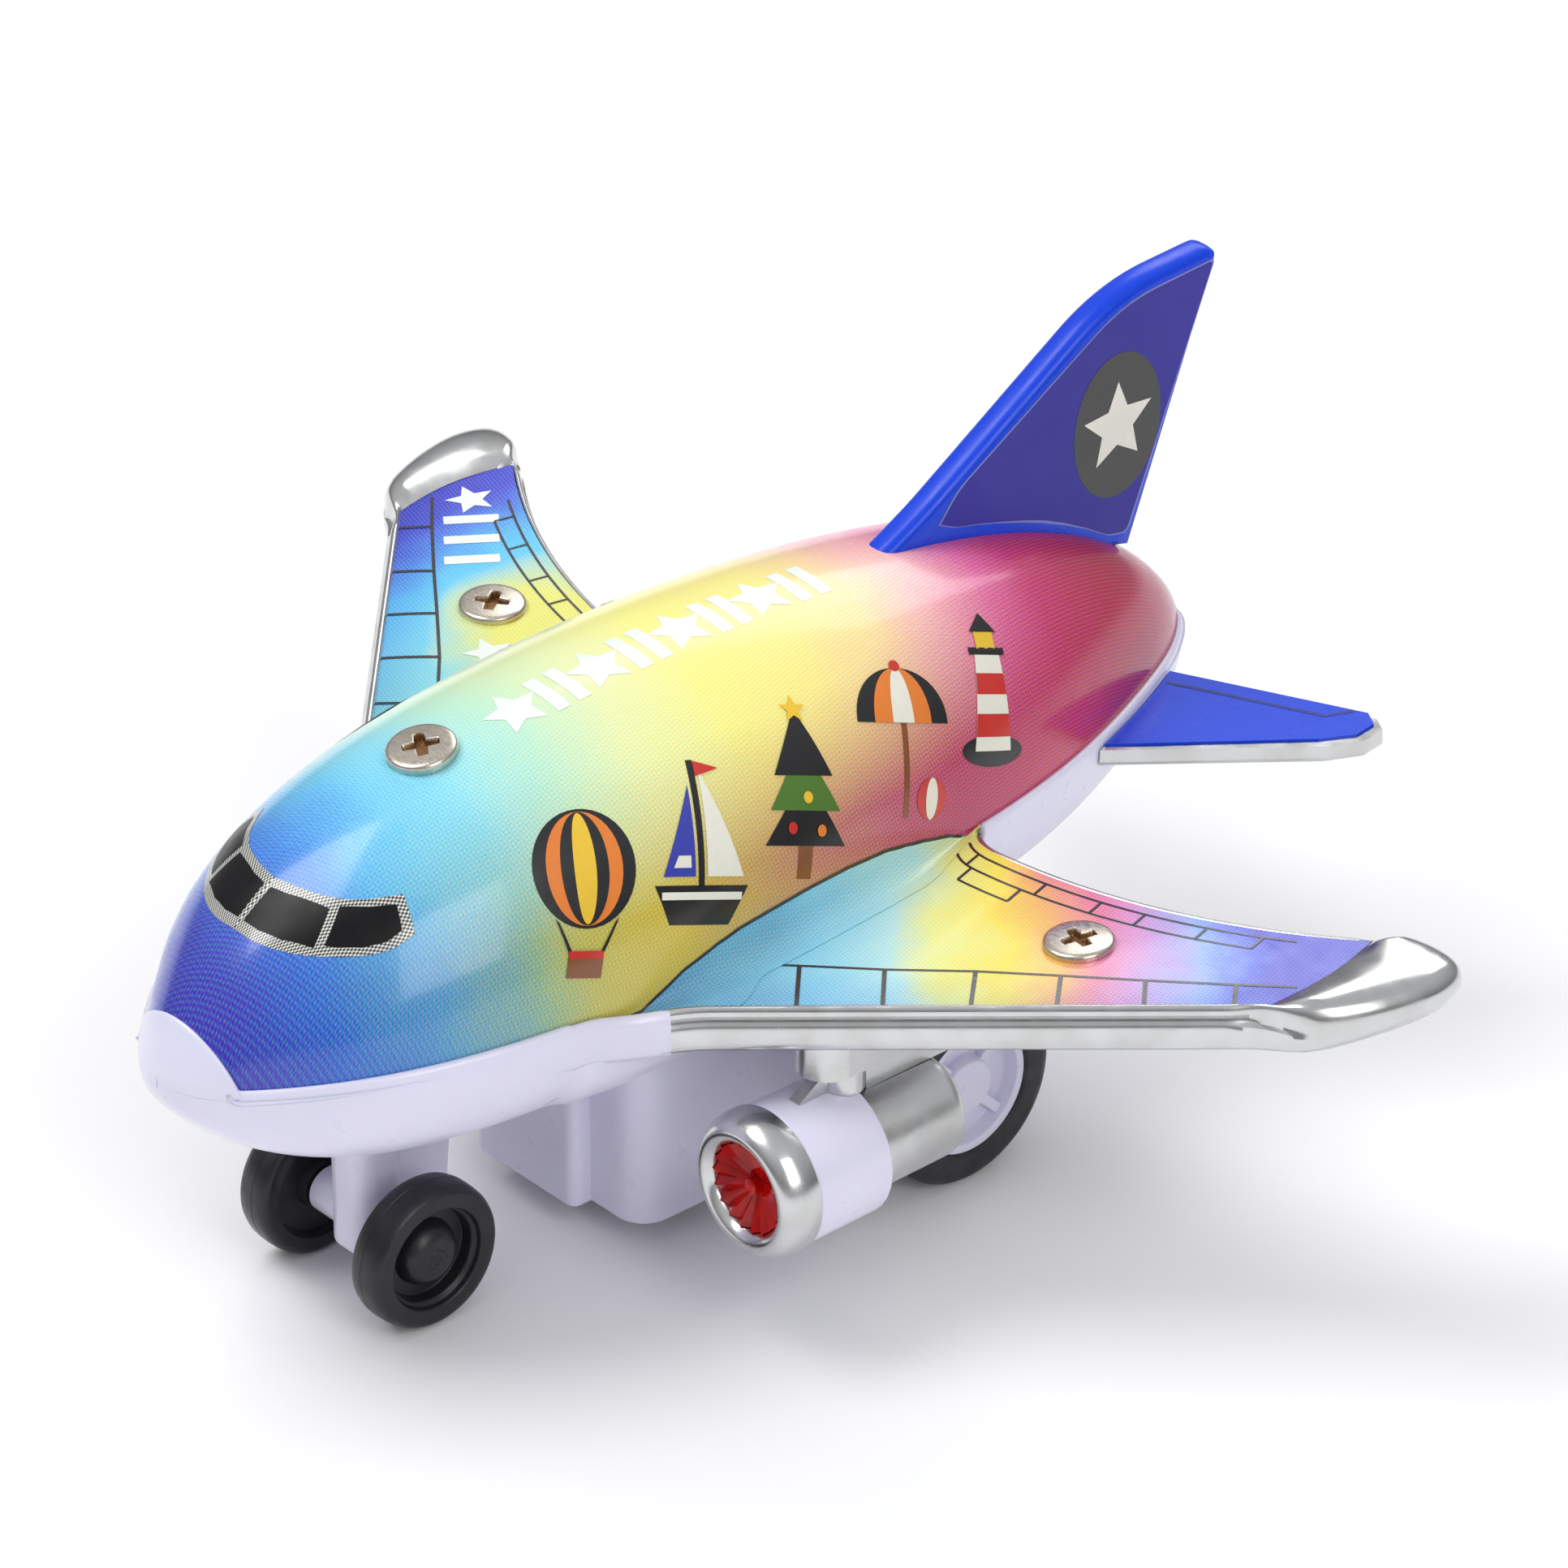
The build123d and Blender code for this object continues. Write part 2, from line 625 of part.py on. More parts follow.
with BuildPart() as tailplane_frame:
    with BuildSketch(TAIL_TOP.offset(-1.9)):
        add(tailplane_outline(0))
    extrude(amount=1.9)
    fillet(tailplane_frame.faces().sort_by(Axis.Z)[0].edges(), 0.6)
    with BuildSketch(TAIL_TOP.offset(-0.5)):
        add(tailplane_outline(1.2))
    extrude(amount=4, mode=Mode.SUBTRACT)
    add(lower_form(-2 * GAP, 4), mode=Mode.SUBTRACT)
save_pair(tailplane_frame.part, "tailplane_frame")

with BuildPart() as tailplane_skin:
    with BuildSketch(TAIL_TOP.offset(-0.5 + SNUG)):
        add(tailplane_outline(1.2 + SNUG))
    extrude(amount=0.7)
    add(lower_form(-2 * GAP, 4), mode=Mode.SUBTRACT)
save_pair(tailplane_skin.part, "tailplane_skin")


# ---- skin screws --------------------------------------------------------------------
with BuildPart() as skin_screws:
    add(cross_screw(8, NOSE_SCREW))
    add(cross_screw(5.5, WING_SCREW))
    add(mirror(cross_screw(5.5, WING_SCREW), about=Plane.YZ))
save(skin_screws.part, "skin_screws")


# ---- battery, electronics and switch ------------------------------------------------
CELL_R = 5.8
CELL_LENGTH = 5.4
CELL_AXIS = (-13.4, BELLY_Z + FLOOR + CELL_R + 0.3)

with BuildPart() as button_cells:
    for place in (-1, 0, 1):
        start = place * (CELL_LENGTH + SNUG) - CELL_LENGTH / 2
        add(rod(CELL_R, start + 0.5, start + CELL_LENGTH, CELL_AXIS))
        add(rod(CELL_R - 1.2, start, start + 0.5, CELL_AXIS))
save(button_cells.part, "button_cells")

with BuildPart() as battery_contacts:
    for side in (-1, 1):
        inner = 1.5 * CELL_LENGTH + 2 * SNUG
        span = (inner, inner + 0.3) if side > 0 else (-inner - 0.3, -inner)
        add(block(span, (-17.4, -9.4), (5.2, 17.0)))
save(battery_contacts.part, "battery_contacts")

with BuildPart() as circuit_board:
    add(block((-11.5, 11.5), (-18.6, -6.0), (17.5, 18.7)))
    add(block((-4, 4), (-16, -10), (18.7, 20.2)))
save(circuit_board.part, "circuit_board")

with BuildPart() as speaker:
    with Locations((0, 33, 28.6)):
        Cylinder(7.4, 2.6)
    with Locations((0, 33, 30.8)):
        Cylinder(4.0, 2.0)
save(speaker.part, "speaker")

with BuildPart() as switch_body:
    add(block((8.4, 13.0), (0.0, 10.0), (BELLY_Z + FLOOR + 1.5, BELLY_Z + FLOOR + 5)))
save(switch_body.part, "switch_body")

with BuildPart() as switch_slider:
    add(block((9.7, 12.3), (3.2, 6.8), (BELLY_Z + 0.3, BELLY_Z + FLOOR + 1.2)))
    for step in (-1, 0, 1):
        add(block((9.7, 12.3), (4.85 + step, 5.15 + step), (BELLY_Z + 0.05, BELLY_Z + 0.35)))
save(switch_slider.part, "switch_slider")


# ---- friction drive -----------------------------------------------------------------
PLATE_IN = 6.4
PLATE_OUT = 7.4
PILLARS = ((17.6, 20.0), (-3.2, 8.0), (-6.6, 31.5))
PILLAR_R = 1.1

with BuildPart() as motor_plate:
    with BuildSketch(side_plane(PLATE_IN)):
        Polygon(
            (-5.2, 5.2), (17.6, 5.2), (19.0, 20.0), (17.0, 22.4), (2.0, 33.0), (-8.4, 33.6),
            (-8.4, 22.0), (-5.2, 19.0), align=None,
        )
    extrude(amount=PLATE_OUT - PLATE_IN)
    for centre in PILLARS:
        add(rod(0.7, PLATE_IN - 1, PLATE_OUT + 1, centre), mode=Mode.SUBTRACT)
    for centre in (IDLER_SHAFT, FLYWHEEL_SHAFT):
        add(rod(SHAFT_R + RUN, PLATE_IN - 1, PLATE_OUT + 1, centre), mode=Mode.SUBTRACT)
    add(rod(MAIN_AXLE_R + RUN, PLATE_IN - 1, PLATE_OUT + 1, MAIN_AXLE), mode=Mode.SUBTRACT)
save_pair(motor_plate.part, "motor_plate")

with BuildPart() as motor_pillars:
    for centre in PILLARS:
        add(rod(PILLAR_R, -PLATE_IN + SNUG, PLATE_IN - SNUG, centre))
        add(rod(0.7 - SNUG, -PLATE_OUT, PLATE_OUT, centre))
save(motor_pillars.part, "motor_pillars")

AXLE_GEAR_X = (1.2, 3.6)
IDLER_PINION_X = (0.9, 3.9)
IDLER_GEAR_X = (-1.9, 0.6)
FLYWHEEL_PINION_X = (-2.3, 0.8)
FLYWHEEL_X = (-5.6, -2.4)

with BuildPart() as axle_gear:
    add(spur_gear(AXLE_TEETH, IDLER_DIRECTION, *AXLE_GEAR_X, MAIN_AXLE))
    add(rod(MAIN_AXLE_R + SNUG, 0, 5, MAIN_AXLE), mode=Mode.SUBTRACT)
save(axle_gear.part, "axle_gear")

with BuildPart() as idler_gear:
    add(spur_gear(
        IDLER_PINION_TEETH, IDLER_DIRECTION + 180 + 180 / IDLER_PINION_TEETH,
        IDLER_GEAR_X[1] - 0.1, IDLER_PINION_X[1], IDLER_SHAFT,
    ))
    add(spur_gear(IDLER_TEETH, FLYWHEEL_DIRECTION, *IDLER_GEAR_X, IDLER_SHAFT))
    add(rod(SHAFT_R + SNUG, -5, 5, IDLER_SHAFT), mode=Mode.SUBTRACT)
save(idler_gear.part, "idler_gear")
save(rod(SHAFT_R, -PLATE_OUT - 0.4, PLATE_OUT + 0.4, IDLER_SHAFT), "idler_shaft")

with BuildPart() as flywheel_pinion:
    add(spur_gear(
        FLYWHEEL_TEETH, FLYWHEEL_DIRECTION + 180 + 180 / FLYWHEEL_TEETH,
        *FLYWHEEL_PINION_X, FLYWHEEL_SHAFT,
    ))
    add(rod(SHAFT_R + SNUG, -5, 5, FLYWHEEL_SHAFT), mode=Mode.SUBTRACT)
save(flywheel_pinion.part, "flywheel_pinion")

with BuildPart() as flywheel:
    add(rod(7.4, *FLYWHEEL_X, FLYWHEEL_SHAFT))
    add(rod(5.4, FLYWHEEL_X[0] - 1, FLYWHEEL_X[0] + 1.2, FLYWHEEL_SHAFT), mode=Mode.SUBTRACT)
    add(rod(2.4, FLYWHEEL_X[0], FLYWHEEL_X[1], FLYWHEEL_SHAFT))
    add(rod(SHAFT_R + SNUG, -8, 5, FLYWHEEL_SHAFT), mode=Mode.SUBTRACT)
save(flywheel.part, "flywheel")
save(rod(SHAFT_R, -PLATE_OUT - 0.4, PLATE_OUT + 0.4, FLYWHEEL_SHAFT), "flywheel_shaft")


# ---- wheels -------------------------------------------------------------------------
def wheel_solid(centre, outer_x, *profile):
    """Port wheel piece, turned about its axle from (inwards from the face, radius) corners."""
    with BuildPart() as piece:
        with BuildSketch(Plane(origin=(0, centre[0], centre[1]), x_dir=(1, 0, 0), z_dir=(0, -1, 0))):
            with BuildLine():
                Polyline(*[(outer_x - depth, radius) for depth, radius in profile], close=True)
            make_face()
        revolve(axis=Axis((0, centre[0], centre[1]), (1, 0, 0)))
    return piece.part


NOSE_BORE = NOSE_AXLE_R + SNUG
nose_wheel = wheel_solid(
    NOSE_AXLE, NOSE_TRACK,
    (NOSE_WHEEL_W, NOSE_BORE), (NOSE_WHEEL_W, 2.2), (NOSE_WHEEL_W - 1.2, 2.6),
    (NOSE_WHEEL_W - 1.2, 5.2), (NOSE_WHEEL_W, 5.6), (NOSE_WHEEL_W, 6.9),
    (NOSE_WHEEL_W - 0.2, 7.3), (NOSE_WHEEL_W - 0.7, NOSE_WHEEL_R), (0.9, NOSE_WHEEL_R),
    (0.3, 7.3), (0, 6.8), (0, 5.3), (1.7, 5.0), (1.7, 3.6), (0.5, 3.3), (0.1, 2.4),
    (-0.2, 1.0), (-0.2, 0), (1.0, 0), (1.0, NOSE_BORE),
)
save_pair(nose_wheel, "nose_wheel")
nose_reach = NOSE_TRACK - 1.0 - SNUG
save(rod(NOSE_AXLE_R, -nose_reach, nose_reach, NOSE_AXLE), "nose_axle")

MAIN_BORE = MAIN_AXLE_R + SNUG
save_pair(wheel_solid(
    MAIN_AXLE, MAIN_TRACK,
    (0.2, MAIN_HUB_R + SNUG), (0, MAIN_HUB_R + 0.3), (0, 9.5), (0.3, 10.1), (1.0, MAIN_WHEEL_R),
    (MAIN_WHEEL_W - 1.0, MAIN_WHEEL_R), (MAIN_WHEEL_W - 0.3, 10.1), (MAIN_WHEEL_W, 9.5),
    (MAIN_WHEEL_W, MAIN_HUB_R + SNUG),
), "main_tyre")

with BuildPart() as main_hub:
    add(wheel_solid(
        MAIN_AXLE, MAIN_TRACK,
        (0.3, MAIN_HUB_R), (0.3, 6.2), (2.0, 5.9), (2.0, 3.0), (0.7, 2.8), (0.7, 0), (1.6, 0),
        (1.6, MAIN_BORE), (MAIN_WHEEL_W, MAIN_BORE), (MAIN_WHEEL_W, 2.4), (3.6, 2.6),
        (3.6, 5.8), (MAIN_WHEEL_W - 0.2, 6.0), (MAIN_WHEEL_W - 0.2, MAIN_HUB_R),
    ))
    with BuildSketch(side_plane(MAIN_TRACK - 2.2, MAIN_AXLE)):
        with PolarLocations(4.4, 4):
            Rectangle(3.2, 0.8)
    extrude(amount=1.1)
save_pair(main_hub.part, "main_hub")
main_reach = MAIN_TRACK - 1.6 - SNUG
save(rod(MAIN_AXLE_R, -main_reach, main_reach, MAIN_AXLE), "main_axle")
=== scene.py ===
"""Looks of the toy airplane: printed tin, moulded hull, plated wings, red lenses, black wheels."""

import json
import math

import bmesh
import bpy
import numpy as np
from mathutils import Euler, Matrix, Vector
from mathutils.geometry import delaunay_2d_cdt


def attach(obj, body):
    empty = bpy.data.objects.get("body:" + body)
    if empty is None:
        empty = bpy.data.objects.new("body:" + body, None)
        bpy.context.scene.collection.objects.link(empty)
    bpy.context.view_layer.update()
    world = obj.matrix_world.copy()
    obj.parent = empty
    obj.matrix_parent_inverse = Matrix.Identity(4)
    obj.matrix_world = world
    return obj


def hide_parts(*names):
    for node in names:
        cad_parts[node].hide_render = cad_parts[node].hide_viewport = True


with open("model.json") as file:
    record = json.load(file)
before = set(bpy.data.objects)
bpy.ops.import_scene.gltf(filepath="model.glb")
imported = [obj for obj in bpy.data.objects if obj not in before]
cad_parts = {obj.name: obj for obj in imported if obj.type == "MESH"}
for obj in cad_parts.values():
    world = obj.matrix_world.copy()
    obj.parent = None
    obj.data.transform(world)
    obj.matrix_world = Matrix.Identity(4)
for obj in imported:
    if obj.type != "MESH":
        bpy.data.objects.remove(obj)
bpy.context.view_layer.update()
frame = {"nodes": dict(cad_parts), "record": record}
MM = 0.001
NODES = frame["nodes"]
SIDES = {1: "port", -1: "starboard"}

# ---- main sizes in millimetres, from the CAD's and refined against the photograph ------
# Fuselage stations: distance aft, half width, height of the parting line, top, bottom.
STATIONS = np.array([
    (-66.5, 0.0, 32.4, 32.9, 32.0),
    (-65.7, 3.1, 32.4, 35.0, 29.7),
    (-62.6, 6.8, 32.5, 39.6, 26.3),
    (-54.6, 13.8, 33.6, 47.2, 22.2),
    (-42.6, 18.8, 34.2, 53.3, 20.7),
    (-27.6, 21.4, 34.6, 56.5, 21.0),
    (-7.6, 21.8, 34.9, 58.1, 21.4),
    (12.4, 20.7, 35.2, 57.5, 21.8),
    (32.4, 17.2, 35.5, 54.8, 23.6),
    (47.4, 11.6, 35.6, 49.8, 26.8),
    (56.4, 6.8, 35.6, 44.0, 29.6),
    (61.2, 2.4, 35.6, 38.6, 32.4),
    (62.3, 0.0, 35.6, 36.0, 35.1),
])
LIP = 0.8                     # how far the hull stands out round the tin
FULLNESS = 2.6                # exponent of the hull's rounded section
# Plan of a port wing's tin: front edge (LE), and rear edge (TE) as an arc through three points.
LE_ROOT, LE_TIP = np.array((22.5, -24.8)), np.array((63.9, 14.0))
TE_TIP, TE_MID, TE_ROOT = np.array((63.0, 28.2)), np.array((45.0, 18.9)), np.array((24.0, 15.2))
ALONG_LE = (LE_TIP - LE_ROOT) / np.linalg.norm(LE_TIP - LE_ROOT)
BACK_FROM_LE = np.array((-ALONG_LE[1], ALONG_LE[0]))
WING_DEPTH, WING_THIN = 4.4, 0.085     # frame's depth, and what it loses for each mm back
TIP_BOW = 0.9                          # how far the tip edge bows out in the middle
ENGINE_X, ENGINE_Z, ENGINE_FRONT = 32.0, 17.4, -23.3
RING_REAR, BARREL_REAR, PIPE_REAR = -19.3, -10.1, 1.3    # distances aft along an engine
FIN_HALF = 1.75                        # half the fin's thickness
# Each axle's (distance aft, height), and how far out its wheels' faces are.
NOSE_AXLE, NOSE_FACE = (-42.6, 7.6), 10.8
MAIN_AXLE, MAIN_FACE = (12.5, 10.4), 25.7


def natural_spline(knots, values, at):
    """Natural cubic spline through rows of values."""
    count = len(knots)
    step = np.diff(knots)
    matrix = np.eye(count)
    right = np.zeros((count, values.shape[1]))
    slope = np.diff(values, axis=0) / step[:, None]
    for i in range(1, count - 1):
        matrix[i, i - 1:i + 2] = step[i - 1], 2 * (step[i - 1] + step[i]), step[i]
        right[i] = 6 * (slope[i] - slope[i - 1])
    bend = np.linalg.solve(matrix, right)
    i = np.clip(np.searchsorted(knots, at) - 1, 0, count - 2)
    t, h = (at - knots[i])[:, None], step[i][:, None]
    return (
        values[i] + t * (slope[i] - h * (2 * bend[i] + bend[i + 1]) / 6)
        + t ** 2 * bend[i] / 2 + t ** 3 * (bend[i + 1] - bend[i]) / (6 * h)
    )


def chord(points):
    """Running length along a row of points."""
    return np.r_[0, np.cumsum(np.linalg.norm(np.diff(points, axis=0), axis=1))]


def spread(points, count):
    """The same line with evenly spread points."""
    run = chord(points)
    at = np.linspace(0, run[-1], count)
    return np.stack([np.interp(at, run, column) for column in points.T], -1)


def through(points, count):
    """Smooth curve of evenly spread points through the given ones."""
    points = np.array(points, float)
    run = chord(points)
    return spread(natural_spline(run, points, np.linspace(0, run[-1], 20 * len(points))), count)


def bend(start, corner, end, t):
    """Curve from start to end that is drawn towards a corner, at shares t of the way."""
    return (1 - t) ** 2 * start + 2 * t * (1 - t) * corner + t * t * end


def headings(points):
    """Unit direction of a line at each of its points."""
    ahead = np.gradient(points, axis=0)
    return ahead / np.linalg.norm(ahead, axis=1)[:, None]


NOSE, TAIL = STATIONS[0, 0], STATIONS[-1, 0]


def spacing(aft):
    """Parameter along the fuselage that rounds both of its ends."""
    return np.sqrt(np.maximum(aft - NOSE, 0)) - np.sqrt(np.maximum(TAIL - aft, 0))


TABLE_AT = np.linspace(spacing(NOSE), spacing(TAIL), 1500)
TABLE = natural_spline(spacing(STATIONS[:, 0]), STATIONS[:, 1:], TABLE_AT)
TABLE[:, 0] = np.maximum(TABLE[:, 0], 0)


def form(aft):
    """Half width, parting line, top and bottom of the fuselage at a distance aft."""
    return [np.interp(spacing(aft), TABLE_AT, column) for column in TABLE.T]


def smooth(x, low, high):
    """0 below low, 1 above high, and a smooth rise between."""
    t = np.clip((np.asarray(x, float) - low) / (high - low), 0, 1)
    return t * t * (3 - 2 * t)


def wing_plane(x, y):
    """Height of the plane that a wing's tin lies in."""
    return 34.3 + 0.045 * x + 0.045 * y


def wing_height(x, y):
    """Top of the wing's tin: its plane, rolled down towards the front edge."""
    x = np.abs(x)
    back = (x - LE_ROOT[0]) * BACK_FROM_LE[0] + (y - LE_ROOT[1]) * BACK_FROM_LE[1]
    roll = np.clip(1 - back / 5.5, 0, 1.3) ** 2 * 0.25
    return wing_plane(x, y) - roll


# ---- node helpers ----------------------------------------------------------------------
def shade(colour, by, more=0.0):
    """A colour made lighter or darker."""
    return tuple(min(1, c * by + more) for c in colour[:3]) + (1,)


def srgb(r, g, b):
    """Linear colour with alpha from 0-255 display values."""
    def lin(v):
        v /= 255
        return v / 12.92 if v <= 0.04045 else ((v + 0.055) / 1.055) ** 2.4
    return (lin(r), lin(g), lin(b), 1.0)


class Finish:
    """A procedural material under construction."""

    def __init__(self, name, **sockets):
        self.material = bpy.data.materials.new(name)
        self.material.use_nodes = True
        self.tree = self.material.node_tree
        self.shader = self.tree.nodes["Principled BSDF"]
        self.coords = self.tree.nodes.new("ShaderNodeTexCoord").outputs["Object"]
        for socket, value in sockets.items():
            self.shader.inputs[socket.replace("_", " ")].default_value = value

    def node(self, kind, settings=None, **links):
        """New node; settings set properties, links set or connect inputs by name or number."""
        made = self.tree.nodes.new("ShaderNode" + kind)
        for key, value in (settings or {}).items():
            setattr(made, key, value)
        for key, value in links.items():
            socket = made.inputs[int(key[1:]) if key[0] == "i" and key[1:].isdigit()
                                 else key.replace("_", " ")]
            if isinstance(value, bpy.types.NodeSocket):
                self.tree.links.new(value, socket)
            else:
                socket.default_value = value
        return made

    def noise(self, per_mm, detail=3.0, coords=None, rough=0.5):
        """Noise with about that many features to a millimetre."""
        return self.node(
            "TexNoise", Vector=coords or self.coords, Scale=per_mm * 1000,
            Detail=detail, Roughness=rough,
        ).outputs["Fac"]

    def span(self, value, low, high, to_low, to_high):
        """Value remapped from one span to another, held at its ends."""
        return self.node(
            "MapRange", Value=value, From_Min=low, From_Max=high, To_Min=to_low, To_Max=to_high,
        ).outputs["Result"]

    def math(self, operation, a, b=0.0, c=0.0):
        """One arithmetic step."""
        return self.node("Math", {"operation": operation}, i0=a, i1=b, i2=c).outputs[0]

    def plus(self, a, b):
        """Sum."""
        return self.math("ADD", a, b)

    def minus(self, a, b):
        """Difference."""
        return self.math("SUBTRACT", a, b)

    def times(self, a, b):
        """Product."""
        return self.math("MULTIPLY", a, b)

    def over(self, a, b):
        """Quotient."""
        return self.math("DIVIDE", a, b)

    def mix(self, blend, factor, a, b):
        """Mixed colour."""
        made = self.node("Mix", {"data_type": "RGBA", "blend_type": blend}, i0=factor)
        for key, value in ((6, a), (7, b)):
            if isinstance(value, bpy.types.NodeSocket):
                self.tree.links.new(value, made.inputs[key])
            else:
                made.inputs[key].default_value = value
        return made.outputs[2]

    def ramp(self, value, stops, kind="LINEAR"):
        """Colour ramp through (place, colour) stops."""
        made = self.node("ValToRGB", i0=value)
        made.color_ramp.interpolation = kind
        marks = made.color_ramp.elements
        for place, colour in stops[1:-1]:
            marks.new(place).color = colour
        marks[0].position, marks[0].color = stops[0]
        marks[-1].position, marks[-1].color = stops[-1]
        return made.outputs["Color"]

    def set(self, socket, value):
        """Connect a value to the shader."""
        self.tree.links.new(value, self.shader.inputs[socket])

    def gloss(self, per_mm, detail, low, high):
        """Uneven roughness between two values."""
        self.set("Roughness", self.span(self.noise(per_mm, detail), 0.3, 0.7, low, high))

    def bump(self, height, distance):
        """Bump of a real height in millimetres."""
        made = self.node("Bump", Height=height, Distance=distance * MM, Strength=1.0)
        self.set("Normal", made.outputs["Normal"])


def plastic(name, colour, rough, mottle, grain=0.01, grain_per_mm=2.5, coat=0.25, **more):
    """Moulded plastic: faint flow mottling, uneven gloss, dust specks and a fine skin."""
    f = Finish(name, Coat_Weight=coat, Coat_Roughness=0.12, **more)
    broad = f.noise(0.05, 4)
    tone = f.mix("MIX", f.span(broad, 0.3, 0.7, 0, 1), shade(colour, 1 - 2.2 * mottle),
                 shade(colour, 1 + mottle))
    specks = f.span(f.noise(1.1, 2), 0.70, 0.76, 0, min(0.25, 6 * mottle))
    f.set("Base Color", f.mix("MIX", specks, tone, shade(colour, 0.72)))
    f.gloss(0.35, 5, rough * 0.82, rough * 1.25)
    f.bump(f.noise(grain_per_mm, 3), grain)
    return f.material


def plating(name, rough, grain, tone, speck):
    """Vacuum-plated plastic: satin, finely grained, with small pits and rubbed spots."""
    f = Finish(name, Metallic=1.0)
    cool = (tone, tone * 1.005, tone * 1.01, 1)
    dull = (tone * 0.80, tone * 0.80, tone * 0.78, 1)
    f.set("Base Color", f.mix("MIX", f.span(f.noise(0.22, 6), 0.42, 0.72, 0, 0.7), cool, dull))
    pits = f.span(f.noise(2.2, 3), 0.66, 0.74, 0, speck)
    haze = f.span(f.noise(0.3, 5), 0.35, 0.7, rough * 0.8, rough * 1.45)
    f.set("Roughness", f.plus(haze, f.times(pits, 0.5)))
    f.bump(f.noise(5.0, 2), grain)
    return f.material


def steel(name, colour, rough):
    """Worked metal with fine directional scratches."""
    f = Finish(name, Metallic=1.0)
    worn = f.span(f.noise(0.5, 5), 0.4, 0.75, 0, 0.6)
    f.set("Base Color", f.mix("MIX", worn, colour, shade(colour, 0.7)))
    stretched = f.node("Mapping", Vector=f.coords, Scale=(0.15, 1.0, 1.0)).outputs[0]
    lines = f.noise(7.0, 4, stretched)
    f.set("Roughness", f.span(lines, 0.3, 0.7, rough * 0.7, rough * 1.4))
    f.bump(lines, 0.004)
    return f.material


def rubber(name, colour, rough, grain):
    """Black moulded wheel: slightly waxy, with scuffs and dust."""
    f = Finish(name, Specular_IOR_Level=0.45)
    scuff = f.span(f.noise(0.28, 6), 0.52, 0.78, 0, 0.55)
    f.set("Base Color", f.mix("MIX", scuff, colour, shade(colour, 1.9, 0.004)))
    f.gloss(0.5, 5, rough * 0.75, rough * 1.3)
    f.bump(f.plus(f.noise(3.0, 3), f.times(f.noise(0.25, 2), 2.0)), grain)
    return f.material


# ---- printed tin -----------------------------------------------------------------------
SCREEN_ANGLES = (0.262, 1.309, 0.0)    # of the dots in red, green and blue, in radians
DOT_PITCH = 0.40


def halftone(f, picture):
    """The smooth picture broken into the printer's dots, three screens at their angles."""
    uv = f.node("UVMap", {"uv_map": "print"}).outputs["UV"]
    channels = f.node("SeparateColor", i0=picture)
    made = f.node("CombineColor")
    for index, angle in enumerate(SCREEN_ANGLES):
        turned = f.node("Mapping", Vector=uv, Rotation=(0, 0, angle)).outputs[0]
        place = f.node("SeparateXYZ", i0=turned)
        waves = [
            f.math("COSINE", f.times(place.outputs[k], 2 * math.pi / DOT_PITCH))
            for k in (0, 1)
        ]
        screen = f.times(f.plus(waves[0], waves[1]), 0.25)
        level = channels.outputs[index]
        dotted = f.plus(level, f.times(screen, 0.5))
        crisp = f.span(dotted, 0.0, 1.0, 0.0, 1.0)
        f.tree.links.new(f.math("MULTIPLY_ADD", f.minus(crisp, level), 0.45, level),
                         made.inputs[index])
    return made.outputs[0]


def tin_gloss(f, picture):
    """Lacquer over the print: gloss, faint orange peel and hairline scratches."""
    f.set("Base Color", halftone(f, picture))
    f.gloss(0.4, 5, 0.16, 0.27)
    hair = f.node("Mapping", Vector=f.coords, Rotation=(0.3, 0.2, 0.7), Scale=(0.06, 1.3, 1.3))
    scratches = f.span(f.noise(2.2, 2, hair.outputs[0]), 0.70, 0.76, 0, 0.5)
    f.bump(f.minus(f.noise(0.33, 3), scratches), 0.012)
    return f.material


# Print along the sides, darkened with painted shade.
SIDE_PRINT_AND_SHADE = [
    (-67, (56, 54, 172)), (-61, (58, 66, 180)), (-54, (46, 108, 202)), (-46, (84, 154, 198)),
    (-39, (146, 180, 142)), (-33, (190, 186, 96)), (-22, (212, 188, 66)), (-13, (206, 168, 98)),
    (-4, (200, 134, 110)), (5, (194, 98, 122)), (16, (186, 56, 104)), (32, (192, 50, 98)),
    (48, (186, 48, 84)), (62, (172, 46, 98)),
]
# Print along the top, paler in itself and brightened with painted light, with a painted highlight
# near the nose.
TOP_PRINT_AND_LIGHT = [
    (-67, (80, 92, 206)), (-58, (88, 120, 226)), (-52, (70, 150, 236)), (-45, (112, 204, 246)),
    (-37, (140, 220, 240)), (-29, (186, 232, 206)), (-18, (230, 240, 176)), (-6, (248, 242, 140)),
    (5, (250, 234, 142)), (12, (248, 218, 156)), (19, (242, 184, 180)), (27, (228, 116, 166)),
    (35, (206, 60, 122)), (46, (190, 40, 84)), (62, (176, 34, 60)),
]


PRINT_START, PRINT_LENGTH = -70, 135


def by_length(print_table):
    """Ramp stops from (distance aft, display colour)."""
    return [((aft - PRINT_START) / PRINT_LENGTH, srgb(*colour)) for aft, colour in print_table]


